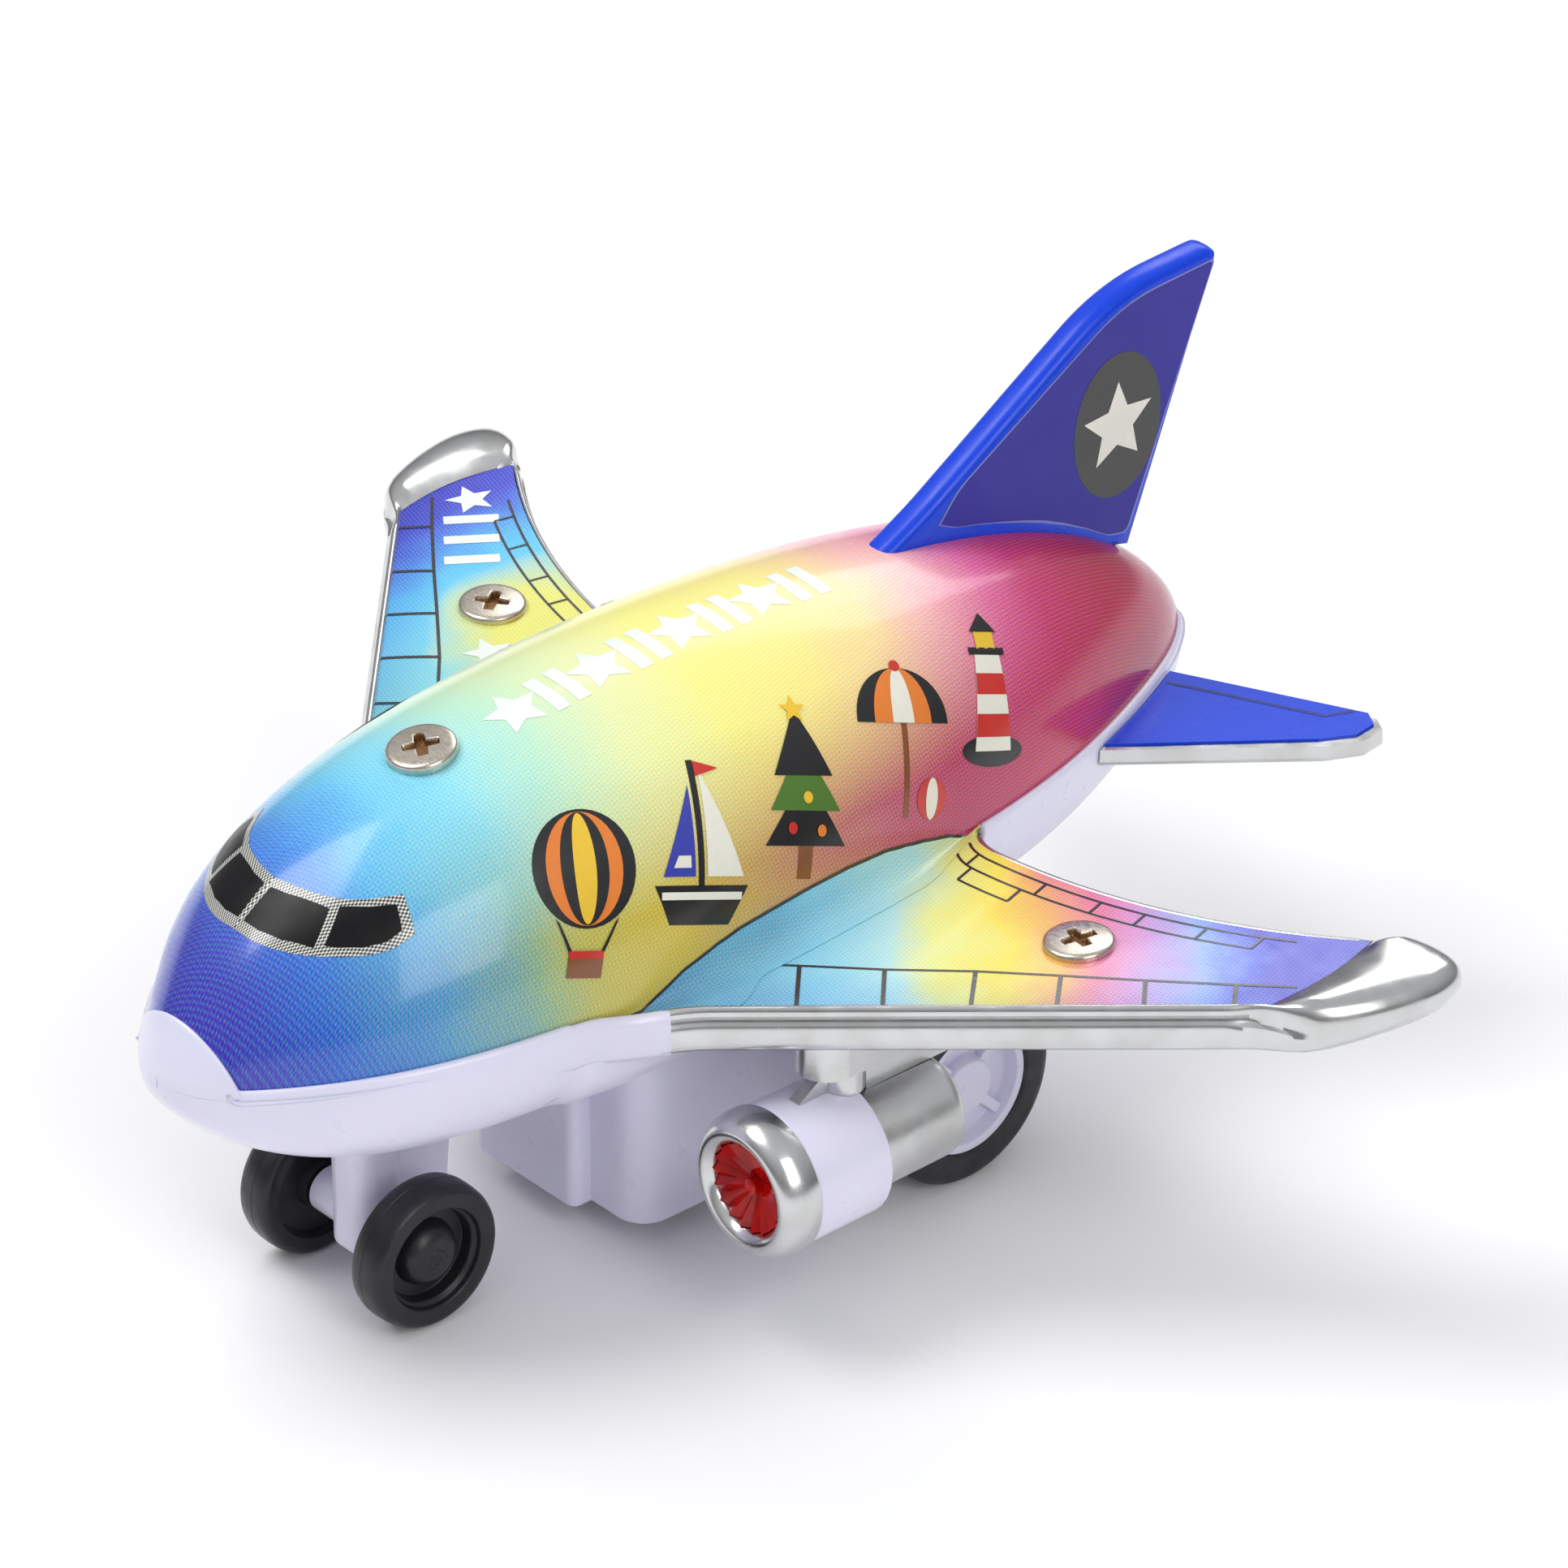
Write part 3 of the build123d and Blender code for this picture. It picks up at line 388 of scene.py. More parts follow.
def fuselage_print():
    """Rainbow that runs from blue at the nose to crimson at the tail, paler along the top; painted
    shade darkens the sides and painted light brightens the top.
    """
    f = Finish("printed_tin_body", Coat_Weight=0.3, Coat_Roughness=0.07, Specular_IOR_Level=0.4)
    place = f.node("SeparateXYZ", i0=f.coords)
    drift = f.times(f.minus(f.noise(0.045, 2), 0.5), 16)
    fuzz = f.times(f.minus(f.noise(2.6, 2), 0.5), 5)
    aft = f.plus(f.plus(f.times(place.outputs[1], 1000), drift), fuzz)
    along = f.over(f.plus(aft, -PRINT_START), PRINT_LENGTH)
    low = f.ramp(along, by_length(SIDE_PRINT_AND_SHADE))
    high = f.ramp(along, by_length(TOP_PRINT_AND_LIGHT))
    height = f.plus(f.times(place.outputs[2], 1000), f.times(drift, 0.3))
    # Painted light: by height, the side colours with their painted shade blend into the top colours
    # with their painted light.
    return tin_gloss(f, f.mix("MIX", f.span(height, 43, 54, 0, 1), low, high))


WING_PRINT = [
    (0.0, (120, 184, 210)), (0.12, (142, 208, 232)), (0.26, (176, 224, 226)),
    (0.36, (226, 230, 140)), (0.46, (240, 218, 74)), (0.55, (238, 180, 100)),
    (0.64, (228, 130, 160)), (0.75, (210, 150, 205)), (0.86, (140, 170, 232)),
    (0.95, (84, 108, 220)), (1.0, (56, 62, 196)),
]
STARBOARD_PRINT = [
    (0.0, (150, 218, 214)), (0.3, (140, 216, 222)), (0.55, (124, 212, 240)), (0.72, (96, 196, 240)),
    (0.84, (84, 140, 226)), (0.93, (70, 84, 206)), (1.0, (58, 60, 190)),
]


def wing_print(name, side):
    """Sunset wing: cyan at the root, yellow, orange and pink outwards, violet at the tip, with
    painted shade along the front edge.
    """
    f = Finish(name, Coat_Weight=0.3, Coat_Roughness=0.07, Specular_IOR_Level=0.4)
    place = f.node("SeparateXYZ", i0=f.coords)
    x = f.times(f.math("ABSOLUTE", place.outputs[0]), 1000)
    y = f.times(place.outputs[1], 1000)
    back_x = f.times(f.minus(x, LE_ROOT[0]), BACK_FROM_LE[0])
    back_y = f.times(f.minus(y, LE_ROOT[1]), BACK_FROM_LE[1])
    back = f.plus(back_x, back_y)
    drift = f.minus(f.noise(0.07, 3), 0.5)
    fuzz = f.times(f.minus(f.noise(2.6, 2), 0.5), 0.05)
    across = f.over(f.minus(x, 22.5), 41.5)          # 0 at the root, 1 at the tip
    length = f.over(f.plus(y, 24.8), 40)             # 0 at the front, 1 at the rear
    if side > 0:
        curl = f.times(f.times(length, length), 0.42)
        place_along = f.plus(f.times(across, 0.60), curl)
        place_along = f.plus(place_along, f.times(drift, 0.30))
        colour = f.ramp(f.plus(place_along, fuzz), [(p, srgb(*c)) for p, c in WING_PRINT])
    else:
        tip = f.plus(f.plus(across, f.times(drift, 0.25)), fuzz)
        cool = f.ramp(tip, [(p, srgb(*c)) for p, c in STARBOARD_PRINT])
        warm_x = f.over(f.minus(x, 38), 13)
        warm_y = f.over(f.minus(y, 13), 15)
        warm = f.plus(f.times(warm_x, warm_x), f.times(warm_y, warm_y))
        warm = f.plus(warm, f.times(drift, 1.6))
        colour = f.mix("MIX", f.span(warm, 0.2, 1.0, 0.9, 0.0), cool, srgb(238, 232, 96))
    # Painted shade: over the last 6 mm before the front edge the print is darkened and turned
    # bluish, where the tin rolls down.
    edge = f.span(back, 0.0, 6.0, 0.55, 0.0)
    painted_front_shade = f.mix("MULTIPLY", 1.0, colour, srgb(150, 178, 224))
    return tin_gloss(f, f.mix("MIX", edge, colour, painted_front_shade))


def ink(name, colour, rough=0.24, coat=0.5, **more):
    """Solid printed ink under the lacquer."""
    return plastic(name, colour, rough, 0.05, 0.006, 0.5, coat, **more)


def checker_ink():
    """Window frames printed as a fine black and cream check."""
    f = Finish("ink_checker", Coat_Weight=0.5, Coat_Roughness=0.08)
    uv = f.node("UVMap", {"uv_map": "print"}).outputs["UV"]
    check = f.node("TexChecker", Vector=uv, Color1=srgb(214, 214, 206), Color2=srgb(58, 58, 58),
                   Scale=1 / 0.26)
    f.set("Base Color", check.outputs["Color"])
    f.gloss(0.5, 4, 0.2, 0.3)
    f.bump(f.noise(0.33, 3), 0.008)
    return f.material


HULL = plastic("hull_plastic", srgb(226, 223, 243), 0.32, 0.015, 0.006, 3.0, coat=0.35,
               Subsurface_Weight=0.12, Subsurface_Scale=0.002)
SILVER = plating("silver_plating", 0.20, 0.0012, 0.66, 0.15)
# Darker copy of the plating: painted shade for the frames' groove.
SILVER_GROOVE_SHADE = plating("silver_groove_painted_shade", 0.24, 0.0012, 0.42, 0.2)
SILVER_GRAINY = plating("silver_grainy", 0.33, 0.005, 0.64, 0.5)
BLUE = plastic("blue_plastic", srgb(4, 64, 216), 0.28, 0.01, 0.002, 1.5, coat=0.1,
               Specular_IOR_Level=0.3)
# Darker blue: painted shade for the tailplane's moulded line.
BLUE_LINE_SHADE = plastic("blue_line_painted_shade", srgb(16, 34, 128), 0.4, 0.02, 0.002, 1.5, coat=0.0)
STICKER = plastic("sticker_indigo", srgb(50, 42, 152), 0.34, 0.03, 0.002, 1.2, coat=0.0,
                  Specular_IOR_Level=0.3)
STICKER_EDGE = plastic("sticker_edge", srgb(120, 128, 205), 0.4, 0.05, 0.008, 1.2, coat=0.1)
SCREW = steel("screw_nickel", srgb(214, 204, 190), 0.26)
RECESS = steel("screw_recess", srgb(150, 112, 76), 0.45)
NOSE_BLACK = rubber("nose_wheel_black", srgb(30, 30, 33), 0.36, 0.012)
TYRE_BLACK = rubber("main_tyre_black", srgb(38, 38, 41), 0.5, 0.02)
AXLE = steel("axle_steel", srgb(190, 192, 196), 0.22)
BODY_PRINT = fuselage_print()
WING_PRINTS = {1: wing_print("printed_tin_port", 1), -1: wing_print("printed_tin_starboard", -1)}
BARE_TIN = steel("bare_tin", srgb(196, 198, 196), 0.3)
BLACK_INK = ink("ink_black", srgb(18, 18, 21), 0.26)
LINE_INK = ink("ink_line", srgb(40, 40, 44))
PANE_INK = ink("ink_pane", srgb(14, 14, 17), 0.3, coat=0.0, Specular_IOR_Level=0.22)
CREAM_INK = ink("ink_cream", srgb(238, 236, 222))
WHITE_INK = ink("ink_white", srgb(240, 246, 240))
RED_INK = ink("ink_red", srgb(206, 44, 34))
ORANGE_INK = ink("ink_orange", srgb(232, 128, 44))
YELLOW = ink("ink_yellow", srgb(238, 196, 48))
BLUE_INK = ink("ink_blue", srgb(52, 62, 172))
GREEN_INK = ink("ink_green", srgb(78, 120, 40))
BROWN_INK = ink("ink_brown", srgb(134, 78, 38))
CHECKER_INK = checker_ink()


def lens_material():
    """Clear red moulded lens."""
    f = Finish("red_lens", Transmission_Weight=0.4, IOR=1.45, Coat_Weight=0.1, Coat_Roughness=0.1,
               Specular_IOR_Level=0.35)
    depth = f.span(f.noise(0.5, 3), 0.35, 0.65, 0, 1)
    f.set("Base Color", f.mix("MIX", depth, (0.50, 0.001, 0.002, 1), (0.85, 0.004, 0.004, 1)))
    f.gloss(0.8, 4, 0.03, 0.10)
    f.bump(f.noise(0.8, 2), 0.01)
    return f.material


LENS = lens_material()


# ---- mesh helpers ----------------------------------------------------------------------
def link(name, data):
    """New object in the scene."""
    made = bpy.data.objects.new(name, data)
    bpy.context.scene.collection.objects.link(made)
    return made


def make_object(name, points, faces, materials, body, indices=None, sharp=40, uv=None):
    """Smooth-shaded mesh from millimetre points, riding on a body."""
    mesh = bpy.data.meshes.new(name)
    mesh.from_pydata([tuple(p) for p in np.asarray(points, float) * MM], [], faces)
    mesh.validate()
    for material in materials:
        mesh.materials.append(material)
    if indices is not None:
        mesh.polygons.foreach_set("material_index", indices)
    mesh.polygons.foreach_set("use_smooth", [True] * len(mesh.polygons))
    if uv is not None:
        layer = mesh.uv_layers.new(name="print")
        loops = np.zeros(len(mesh.loops), int)
        mesh.loops.foreach_get("vertex_index", loops)
        layer.data.foreach_set("uv", np.asarray(uv, float)[loops].ravel())
    mesh.update()
    mesh.set_sharp_from_angle(angle=math.radians(sharp))
    made = link(name, mesh)
    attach(made, body)
    return made


def grid_faces(rows, columns, wrap_rows=False, wrap_columns=False, start=0):
    """Quads over a grid of points."""
    faces = []
    for i in range(rows if wrap_rows else rows - 1):
        for j in range(columns if wrap_columns else columns - 1):
            a, b = start + i * columns, start + (i + 1) % rows * columns
            c, d = j, (j + 1) % columns
            faces.append((a + c, b + c, b + d, a + d))
    return faces


def turned(faces, turn=True):
    """Faces seen from their other side, where turn says so."""
    return [tuple(reversed(face)) for face in faces] if turn else faces


def soften(path, radii, steps=5):
    """Polyline with its inner corners rounded by one radius or by one for each point."""
    path = [np.array(p, float) for p in path]
    out = [path[0]]
    for i in range(1, len(path) - 1):
        radius = radii[i] if hasattr(radii, "__len__") else radii
        before, after = path[i - 1] - path[i], path[i + 1] - path[i]
        reach = min(radius, 0.45 * np.linalg.norm(before), 0.45 * np.linalg.norm(after))
        if reach < 0.01:
            out.append(path[i])
            continue
        a = path[i] + before / np.linalg.norm(before) * reach
        b = path[i] + after / np.linalg.norm(after) * reach
        for k in range(steps + 1):
            out.append(bend(a, path[i], b, k / steps))
    out.append(path[-1])
    return np.array(out)


def lathe(name, profile, axis, centre, material, body, segments=96, face=0.0, side=1.0, sharp=30):
    """Turned piece from (radius, along) pairs, about an axis along x or y through a centre."""
    profile = np.array(profile, float)
    turns = np.linspace(0, 2 * math.pi, segments, endpoint=False)
    points = []
    for radius, along in profile:
        u, v = radius * np.cos(turns), radius * np.sin(turns)
        if axis == "y":
            ring = np.stack([centre[0] + u, np.full_like(u, along), centre[1] + v], -1)
        else:
            ring = np.stack(
                [np.full_like(u, side * (face - along)), centre[0] + u, centre[1] + v], -1)
        points.append(ring)
    closed = np.allclose(profile[0], profile[-1])
    if closed:
        points = points[:-1]
    rows = len(points)
    faces = grid_faces(rows, segments, closed, True)
    points = np.concatenate(points)
    if not closed:
        faces += end_faces(rows, segments)
    made = make_object(name, points, faces, [material], body, sharp=sharp)
    fix_normals(made)
    return made


def end_faces(rows, columns):
    """Faces that close both ends of a tube of points."""
    last = (rows - 1) * columns
    return [tuple(range(columns)), tuple(last + k for k in reversed(range(columns)))]


def fix_normals(made):
    """Merge points that coincide and turn every face outwards."""
    mesh = bmesh.new()
    mesh.from_mesh(made.data)
    bmesh.ops.remove_doubles(mesh, verts=mesh.verts, dist=1e-6)
    bmesh.ops.recalc_face_normals(mesh, faces=mesh.faces)
    mesh.to_mesh(made.data)
    mesh.free()


# ---- tin skin --------------------------------------------------------------------------
LEAN = math.radians(16)                  # of the joint between the nose cap and the tin,
JOINT_AFT, JOINT_HEIGHT = -64.6, 39.3    # which passes through this point
ROOT_FROM, ROOT_TO = -31.0, 18.8         # where the wing's edges leave the fuselage
NOSE_BLEND_END = -50                     # aft of this the tin's sections are upright
ARC = 21.5                               # length round the fuselage for a turn of one radian


def fillet_radius(aft):
    """Radius of the tin between fuselage and wing."""
    return 3.0 * smooth(aft, -30.5, -15) * (1 - smooth(aft, 6, ROOT_TO))


def edge_height(aft):
    """Height of the tin's lower edge: the parting line, or the wing's top at the root."""
    half, parting = form(aft)[:2]
    in_wing = smooth(aft, -33, -25) * (1 - smooth(aft, 14.5, ROOT_TO))
    return parting + (wing_height(half, aft) - parting) * in_wing


def half_section(aft, count=72):
    """Port half of the tin's section at a distance aft: (x, z) from its lower edge to the top."""
    half, parting, top = form(aft)[:3]
    edge, radius = edge_height(aft), fillet_radius(aft)
    start, first = edge + radius, half
    turns = np.linspace(0, math.pi / 2, 200)
    x, z = half * np.cos(turns), parting + (top - parting) * np.sin(turns)
    if start > parting:
        keep = z >= start
        x, z = x[keep], z[keep]
        first = half * math.cos(math.asin(min(1, (start - parting) / (top - parting))))
    x, z = np.r_[first, x], np.r_[start, z]
    if radius > 0.02:
        lean = (x[1] - x[0]) / (z[1] - z[0] + 1e-9)
        corner = (x[0] - lean * radius, edge)
        foot = (corner[0] + radius, wing_height(corner[0] + radius, aft))
        t = np.linspace(0, 1, 14)[:-1]
        x, z = [np.r_[bend(foot[k], corner[k], line[0], t), line] for k, line in enumerate((x, z))]
    return spread(np.stack([x, z], -1), count)


def stand(section, aft):
    """Points of a section (x, z) stood at a distance aft."""
    return np.stack([section[:, 0], np.full(len(section), aft), section[:, 1]], -1)


def root_point(aft):
    """Where the fuselage's tin meets the wing's plane on the port side."""
    return half_section(aft)[0]


def nose_start(turn):
    """Distance aft at which the tin begins, for an angle round the section."""
    afts = NOSE + np.linspace(0, 9, 900)
    parting, top = form(afts)[1:3]
    z = parting + (top - parting) * math.sin(turn)
    ahead = (afts - JOINT_AFT) * math.cos(LEAN) + (z - JOINT_HEIGHT) * math.sin(LEAN)
    return float(np.interp(0, ahead, afts))


AFTS = np.unique(np.r_[
    np.linspace(-64.9, -50, 40), np.linspace(-50, ROOT_FROM, 34), np.linspace(ROOT_FROM, -20, 26),
    np.linspace(-20, 8, 40), np.linspace(8, ROOT_TO, 26), np.linspace(ROOT_TO, 57, 44),
    57 + 5.25 * np.sin(np.linspace(0, math.pi / 2, 20)),
])


def fuselage_tin():
    """The fuselage part of the tin, as one grid from the nose joint to the tail."""
    points, uv = [], []
    for aft in AFTS:
        half = half_section(aft)
        row = stand(np.r_[half, half[-2::-1] * (-1, 1)], aft)
        if aft < NOSE_BLEND_END:
            share = 1 - (aft - AFTS[0]) / (NOSE_BLEND_END - AFTS[0])
            for k in range(len(row)):
                turn = math.pi * k / (len(row) - 1)
                here = aft + (nose_start(turn) - AFTS[0]) * share
                width, parting, top = form(here)[:3]
                row[k] = (width * math.cos(turn), here, parting + (top - parting) * math.sin(turn))
        run = chord(row)
        uv.append(np.stack([row[:, 1], run - run[-1] / 2], -1))
        points.append(row)
    made = make_object(
        "tin_fuselage", np.concatenate(points), grid_faces(len(points), len(points[0])),
        [BODY_PRINT, BARE_TIN], "airframe", uv=np.concatenate(uv), sharp=60,
    )
    thicken(made, **TIN_SHEET)
    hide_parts("tin_body_skin")


def thicken(made, depth, **settings):
    """Give a sheet a thickness in millimetres, inwards."""
    solid = made.modifiers.new("thickness", "SOLIDIFY")
    solid.thickness, solid.offset = depth * MM, -1
    for key, value in settings.items():
        setattr(solid, key, value)


# The tin's inside is bare metal, and its edges are open where the lip and the frames hide them.
TIN_SHEET = dict(depth=0.35, material_offset=1, use_rim=False, use_quality_normals=True)


def front_edge(count):
    """Plan of the wing tin's front edge, flaring out of the fuselage."""
    start = np.array((root_point(ROOT_FROM)[0], ROOT_FROM))
    corner, end = np.array((22.25, -25.0)), LE_ROOT + 5.5 * ALONG_LE
    flare = bend(start, corner, end, np.linspace(0, 1, 30)[:, None])
    return spread(np.r_[flare, LE_TIP[None, :]], count)


def rear_edge(count):
    """Plan of the wing tin's rear edge, flaring into the fuselage."""
    centre, radius = circle_through(TE_TIP, TE_MID, TE_ROOT)
    a, b = [math.atan2(*(p - centre)[::-1]) for p in (TE_ROOT + (1.6, 0.42), TE_TIP)]
    turns = np.linspace(a, b, 40)
    arc = centre + radius * np.stack([np.cos(turns), np.sin(turns)], -1)
    start, corner = np.array((root_point(ROOT_TO)[0], ROOT_TO)), np.array((20.9, 15.0))
    flare = bend(start, corner, arc[0], np.linspace(0, 1, 30)[:, None])
    return spread(np.r_[flare, arc[1:]], count)


def tip_edge(share):
    """Point on the wing tin's bowed tip edge, from front to rear."""
    return LE_TIP + (TE_TIP - LE_TIP) * share + (TIP_BOW * math.sin(math.pi * share), 0)


def root_fade(share):
    """How far the root's height still counts, at a share of the way out to the tip."""
    return max(0.0, 1 - share * 8) ** 2


def circle_through(a, b, c):
    """Centre and radius of the circle through three plan points."""
    left = 2 * np.array([b - a, c - a])
    right = np.array([b @ b - a @ a, c @ c - a @ a])
    centre = np.linalg.solve(left, right)
    return centre, np.linalg.norm(a - centre)


def wing_tin(side):
    """One wing's tin, from the root fillet to the tip."""
    root_afts = AFTS[(AFTS >= ROOT_FROM - 1e-6) & (AFTS <= ROOT_TO + 1e-6)]
    across = (root_afts - ROOT_FROM) / (ROOT_TO - ROOT_FROM)
    count = 60
    even = np.linspace(0, 1, count)
    out = even ** 1.25
    front, rear = [np.stack([np.interp(out, even, column) for column in line.T], -1)
                   for line in (front_edge(count), rear_edge(count))]
    points = []
    for v, aft in zip(across, root_afts):
        root_x, root_height = root_point(aft)
        root, tip = np.array((root_x, aft)), tip_edge(v)
        for k, u in enumerate(out):
            corners = ((1 - u) * (1 - v) * front[0] + u * (1 - v) * front[-1]
                       + (1 - u) * v * rear[0] + u * v * rear[-1])
            spot = (1 - v) * front[k] + v * rear[k] + (1 - u) * root + u * tip - corners
            height = wing_height(*spot) + root_fade(u) * (root_height - wing_height(*root))
            points.append((side * spot[0], spot[1], height))
    plan = np.array(points)[:, :2] * (side, 1)
    faces = []
    for face in grid_faces(len(across), count):
        a, b, c, d = plan[list(face)]
        if np.cross(c - a, d - b) < -1e-3:      # grid folds at the root's front end are left out
            faces.append(face)
    made = make_object("tin_wing_" + SIDES[side], points, turned(faces, side > 0),
                       [WING_PRINTS[side], BARE_TIN], "airframe", uv=plan, sharp=60)
    thicken(made, **TIN_SHEET)


# ---- prints laid on the tin ------------------------------------------------------------
def skin_point(aft, around, lift):
    """Point on the fuselage's tin: distance aft, and length round it from the port edge."""
    half, parting, top = form(aft)[:3]
    turn = np.asarray(around) / ARC
    x, z = half * np.cos(turn), parting + (top - parting) * np.sin(turn)
    normal_x = (top - parting) * np.cos(turn)
    normal_z = half * np.sin(turn)
    wide, tall = ((form(aft + 0.1)[k] - form(aft - 0.1)[k]) / 0.2 for k in (0, 2))
    normal_y = -(normal_x * wide * np.cos(turn) + normal_z * tall * np.sin(turn))
    length = np.sqrt(normal_x ** 2 + normal_y ** 2 + normal_z ** 2)
    return np.stack([x + lift * normal_x / length, aft + lift * normal_y / length,
                     z + lift * normal_z / length], -1)


def wing_point(x, y, lift):
    """Point on a wing's tin."""
    return np.stack([x, y, wing_height(x, y) + lift], -1)


def fill(outline, pitch=0.8):
    """Triangles inside an outline, fine enough to follow a curved surface."""
    outline = np.array(outline, float)
    closed = np.r_[outline, outline[:1]]
    edge = []
    for a, b in zip(closed[:-1], closed[1:]):
        steps = max(1, int(np.linalg.norm(b - a) / pitch))
        edge += [a + (b - a) * k / steps for k in range(steps)]
    low, high = outline.min(0), outline.max(0)
    xs, ys = (np.arange(low[k] + pitch / 2, high[k], pitch) for k in (0, 1))
    inner = [np.array((x, y)) for x in xs for y in ys]
    points = [Vector(p) for p in edge + inner]
    loop = [(k, (k + 1) % len(edge)) for k in range(len(edge))]
    made = delaunay_2d_cdt(points, loop, [], 1, 1e-5)
    return np.array([tuple(p) for p in made[0]]), [tuple(f) for f in made[2]]


def prints(name, shapes, point, side=1):
    """One printed object from (outline, ink, layer) shapes, on the side that side says."""
    points, faces, indices, uv, inks = [], [], [], [], []
    start = 0
    for outline, colour, layer in shapes:
        spots, triangles = fill(outline)
        points.append(point(spots[:, 0], spots[:, 1], 0.04 + 0.025 * layer) * (side, 1, 1))
        uv.append(spots)
        if colour not in inks:
            inks.append(colour)
        faces += [tuple(start + k for k in face) for face in triangles]
        indices += [inks.index(colour)] * len(triangles)
        start += len(spots)
    made = make_object(name, np.concatenate(points), turned(faces, side < 0), inks, "airframe",
                       indices, uv=np.concatenate(uv), sharp=180)
    return made


def disc(centre, radius, tall=1.0, start=0, end=360):
    """Round or oval outline, or a sector of it."""
    turns = np.radians(np.linspace(start, end, 40, endpoint=end - start < 360))
    return [(centre[0] + radius * math.cos(t), centre[1] + radius * tall * math.sin(t))
            for t in turns]


def star(centre, radius, inner=0.42, spin=90):
    """Five-armed star outline; inner is the share of the radius that its hollows reach."""
    outline = []
    for k in range(10):
        reach, turn = radius * (inner if k % 2 else 1), math.radians(spin + 36 * k)
        outline.append((centre[0] + reach * math.cos(turn), centre[1] + reach * math.sin(turn)))
    return outline


def bar(x0, y0, x1, y1):
    """Upright rectangle."""
    return [(x0, y0), (x1, y0), (x1, y1), (x0, y1)]


def stroke(points, width):
    """Outline of a line of even width through plan points."""
    points = np.array(points, float)
    ahead = headings(points)
    across = np.stack([-ahead[:, 1], ahead[:, 0]], -1) * width / 2
    return np.r_[points + across, (points - across)[::-1]]


def placed(shapes, centre, tilt, size):
    """Shapes of a pictogram turned and moved to their place on the side."""
    c, s = math.cos(tilt), math.sin(tilt)
    return [
        ([(centre[0] + size * (x * c - y * s), centre[1] + size * (x * s + y * c))
          for x, y in outline], colour, layer)
        for outline, colour, layer in shapes
    ]


def balloon():
    """Hot-air balloon."""
    return [
        (disc((0, 2.6), 5.4, 1.06), BLACK_INK, 0),
        (disc((0, 2.6), 4.0, 1.36), ORANGE_INK, 1),
        (disc((0, 2.6), 2.5, 2.16), BLACK_INK, 2),
        (disc((0, 2.6), 1.15, 4.6), YELLOW, 3),
        ([(-3.4, -2.1), (-3.0, -2.5), (-1.4, -5.6), (-1.8, -5.6)], BLACK_INK, 4),
        ([(3.4, -2.1), (3.0, -2.5), (1.4, -5.6), (1.8, -5.6)], BLACK_INK, 4),
        (bar(-1.9, -7.8, 1.9, -5.3), BROWN_INK, 4),
        (bar(-1.9, -5.9, 1.9, -5.2), RED_INK, 5),
    ]


def sailboat():
    """Sailboat with a striped jib."""
    hull = [(-5.4, -3.6), (5.6, -3.6), (3.6, -7.2), (-3.6, -7.2)]
    return [
        (hull, BLACK_INK, 0),
        (bar(-4.6, -4.9, 4.9, -4.2), CREAM_INK, 1),
        (bar(-0.35, -3.8, 0.35, 8.0), BLACK_INK, 0),
        ([(0.7, -2.8), (5.0, -2.8), (0.7, 7.0)], CREAM_INK, 1),
        ([(-0.7, -2.8), (-4.4, -2.8), (-0.7, 5.6)], BLUE_INK, 1),
        ([(-1.2, -2.0), (-3.2, -2.0), (-2.6, -0.9), (-1.2, -0.9)], CREAM_INK, 2),
        ([(0.35, 7.9), (3.0, 7.1), (0.35, 6.4)], RED_INK, 2),
    ]


def pine():
    """Pine tree."""
    return [
        (bar(-0.9, -7.8, 0.9, -4.6), BROWN_INK, 0),
        ([(-5.0, -4.8), (5.0, -4.8), (0, 1.6)], BLACK_INK, 1),
        ([(-4.2, -1.6), (4.2, -1.6), (0, 4.6)], GREEN_INK, 2),
        ([(-3.4, 1.6), (3.4, 1.6), (0, 8.0)], BLACK_INK, 3),
        (disc((-1.7, -3.2), 0.55), RED_INK, 4),
        (disc((1.9, -3.4), 0.55), ORANGE_INK, 4),
        (disc((0.3, -0.4), 0.55), YELLOW, 4),
        (star((0, 8.0), 1.5), YELLOW, 4),
    ]


def parasol():
    """Beach parasol and ball."""
    return [
        (bar(-0.35, -7.4, 0.35, 3.0), BROWN_INK, 0),
        (disc((0, 1.6), 5.6, 1.0, 0, 180), BLACK_INK, 1),
        (disc((0, 1.6), 3.5, 1.6, 0, 180), ORANGE_INK, 2),
        (disc((0, 1.6), 1.3, 4.3, 0, 180), CREAM_INK, 3),
        (disc((0, 7.4), 0.6), RED_INK, 4),
        (disc((3.4, -5.6), 2.0), RED_INK, 1),
        (disc((3.4, -5.6), 0.8, 2.5), CREAM_INK, 2),
    ]


def lighthouse():
    """Striped lighthouse on a rock."""
    return [
        (disc((0, -6.6), 4.4, 0.36), BLACK_INK, 0),
        ([(-2.6, -6.6), (2.6, -6.6), (1.6, 3.4), (-1.6, 3.4)], CREAM_INK, 1),
        ([(-2.45, -5.2), (2.45, -5.2), (2.2, -2.9), (-2.2, -2.9)], RED_INK, 2),
        ([(-2.0, -0.9), (2.0, -0.9), (1.8, 1.3), (-1.8, 1.3)], RED_INK, 2),
        (bar(-2.3, 3.3, 2.3, 4.1), BLACK_INK, 2),
        (bar(-1.2, 4.0, 1.2, 6.0), YELLOW, 2),
        ([(-1.7, 5.9), (1.7, 5.9), (0, 8.2)], BLACK_INK, 3),
    ]


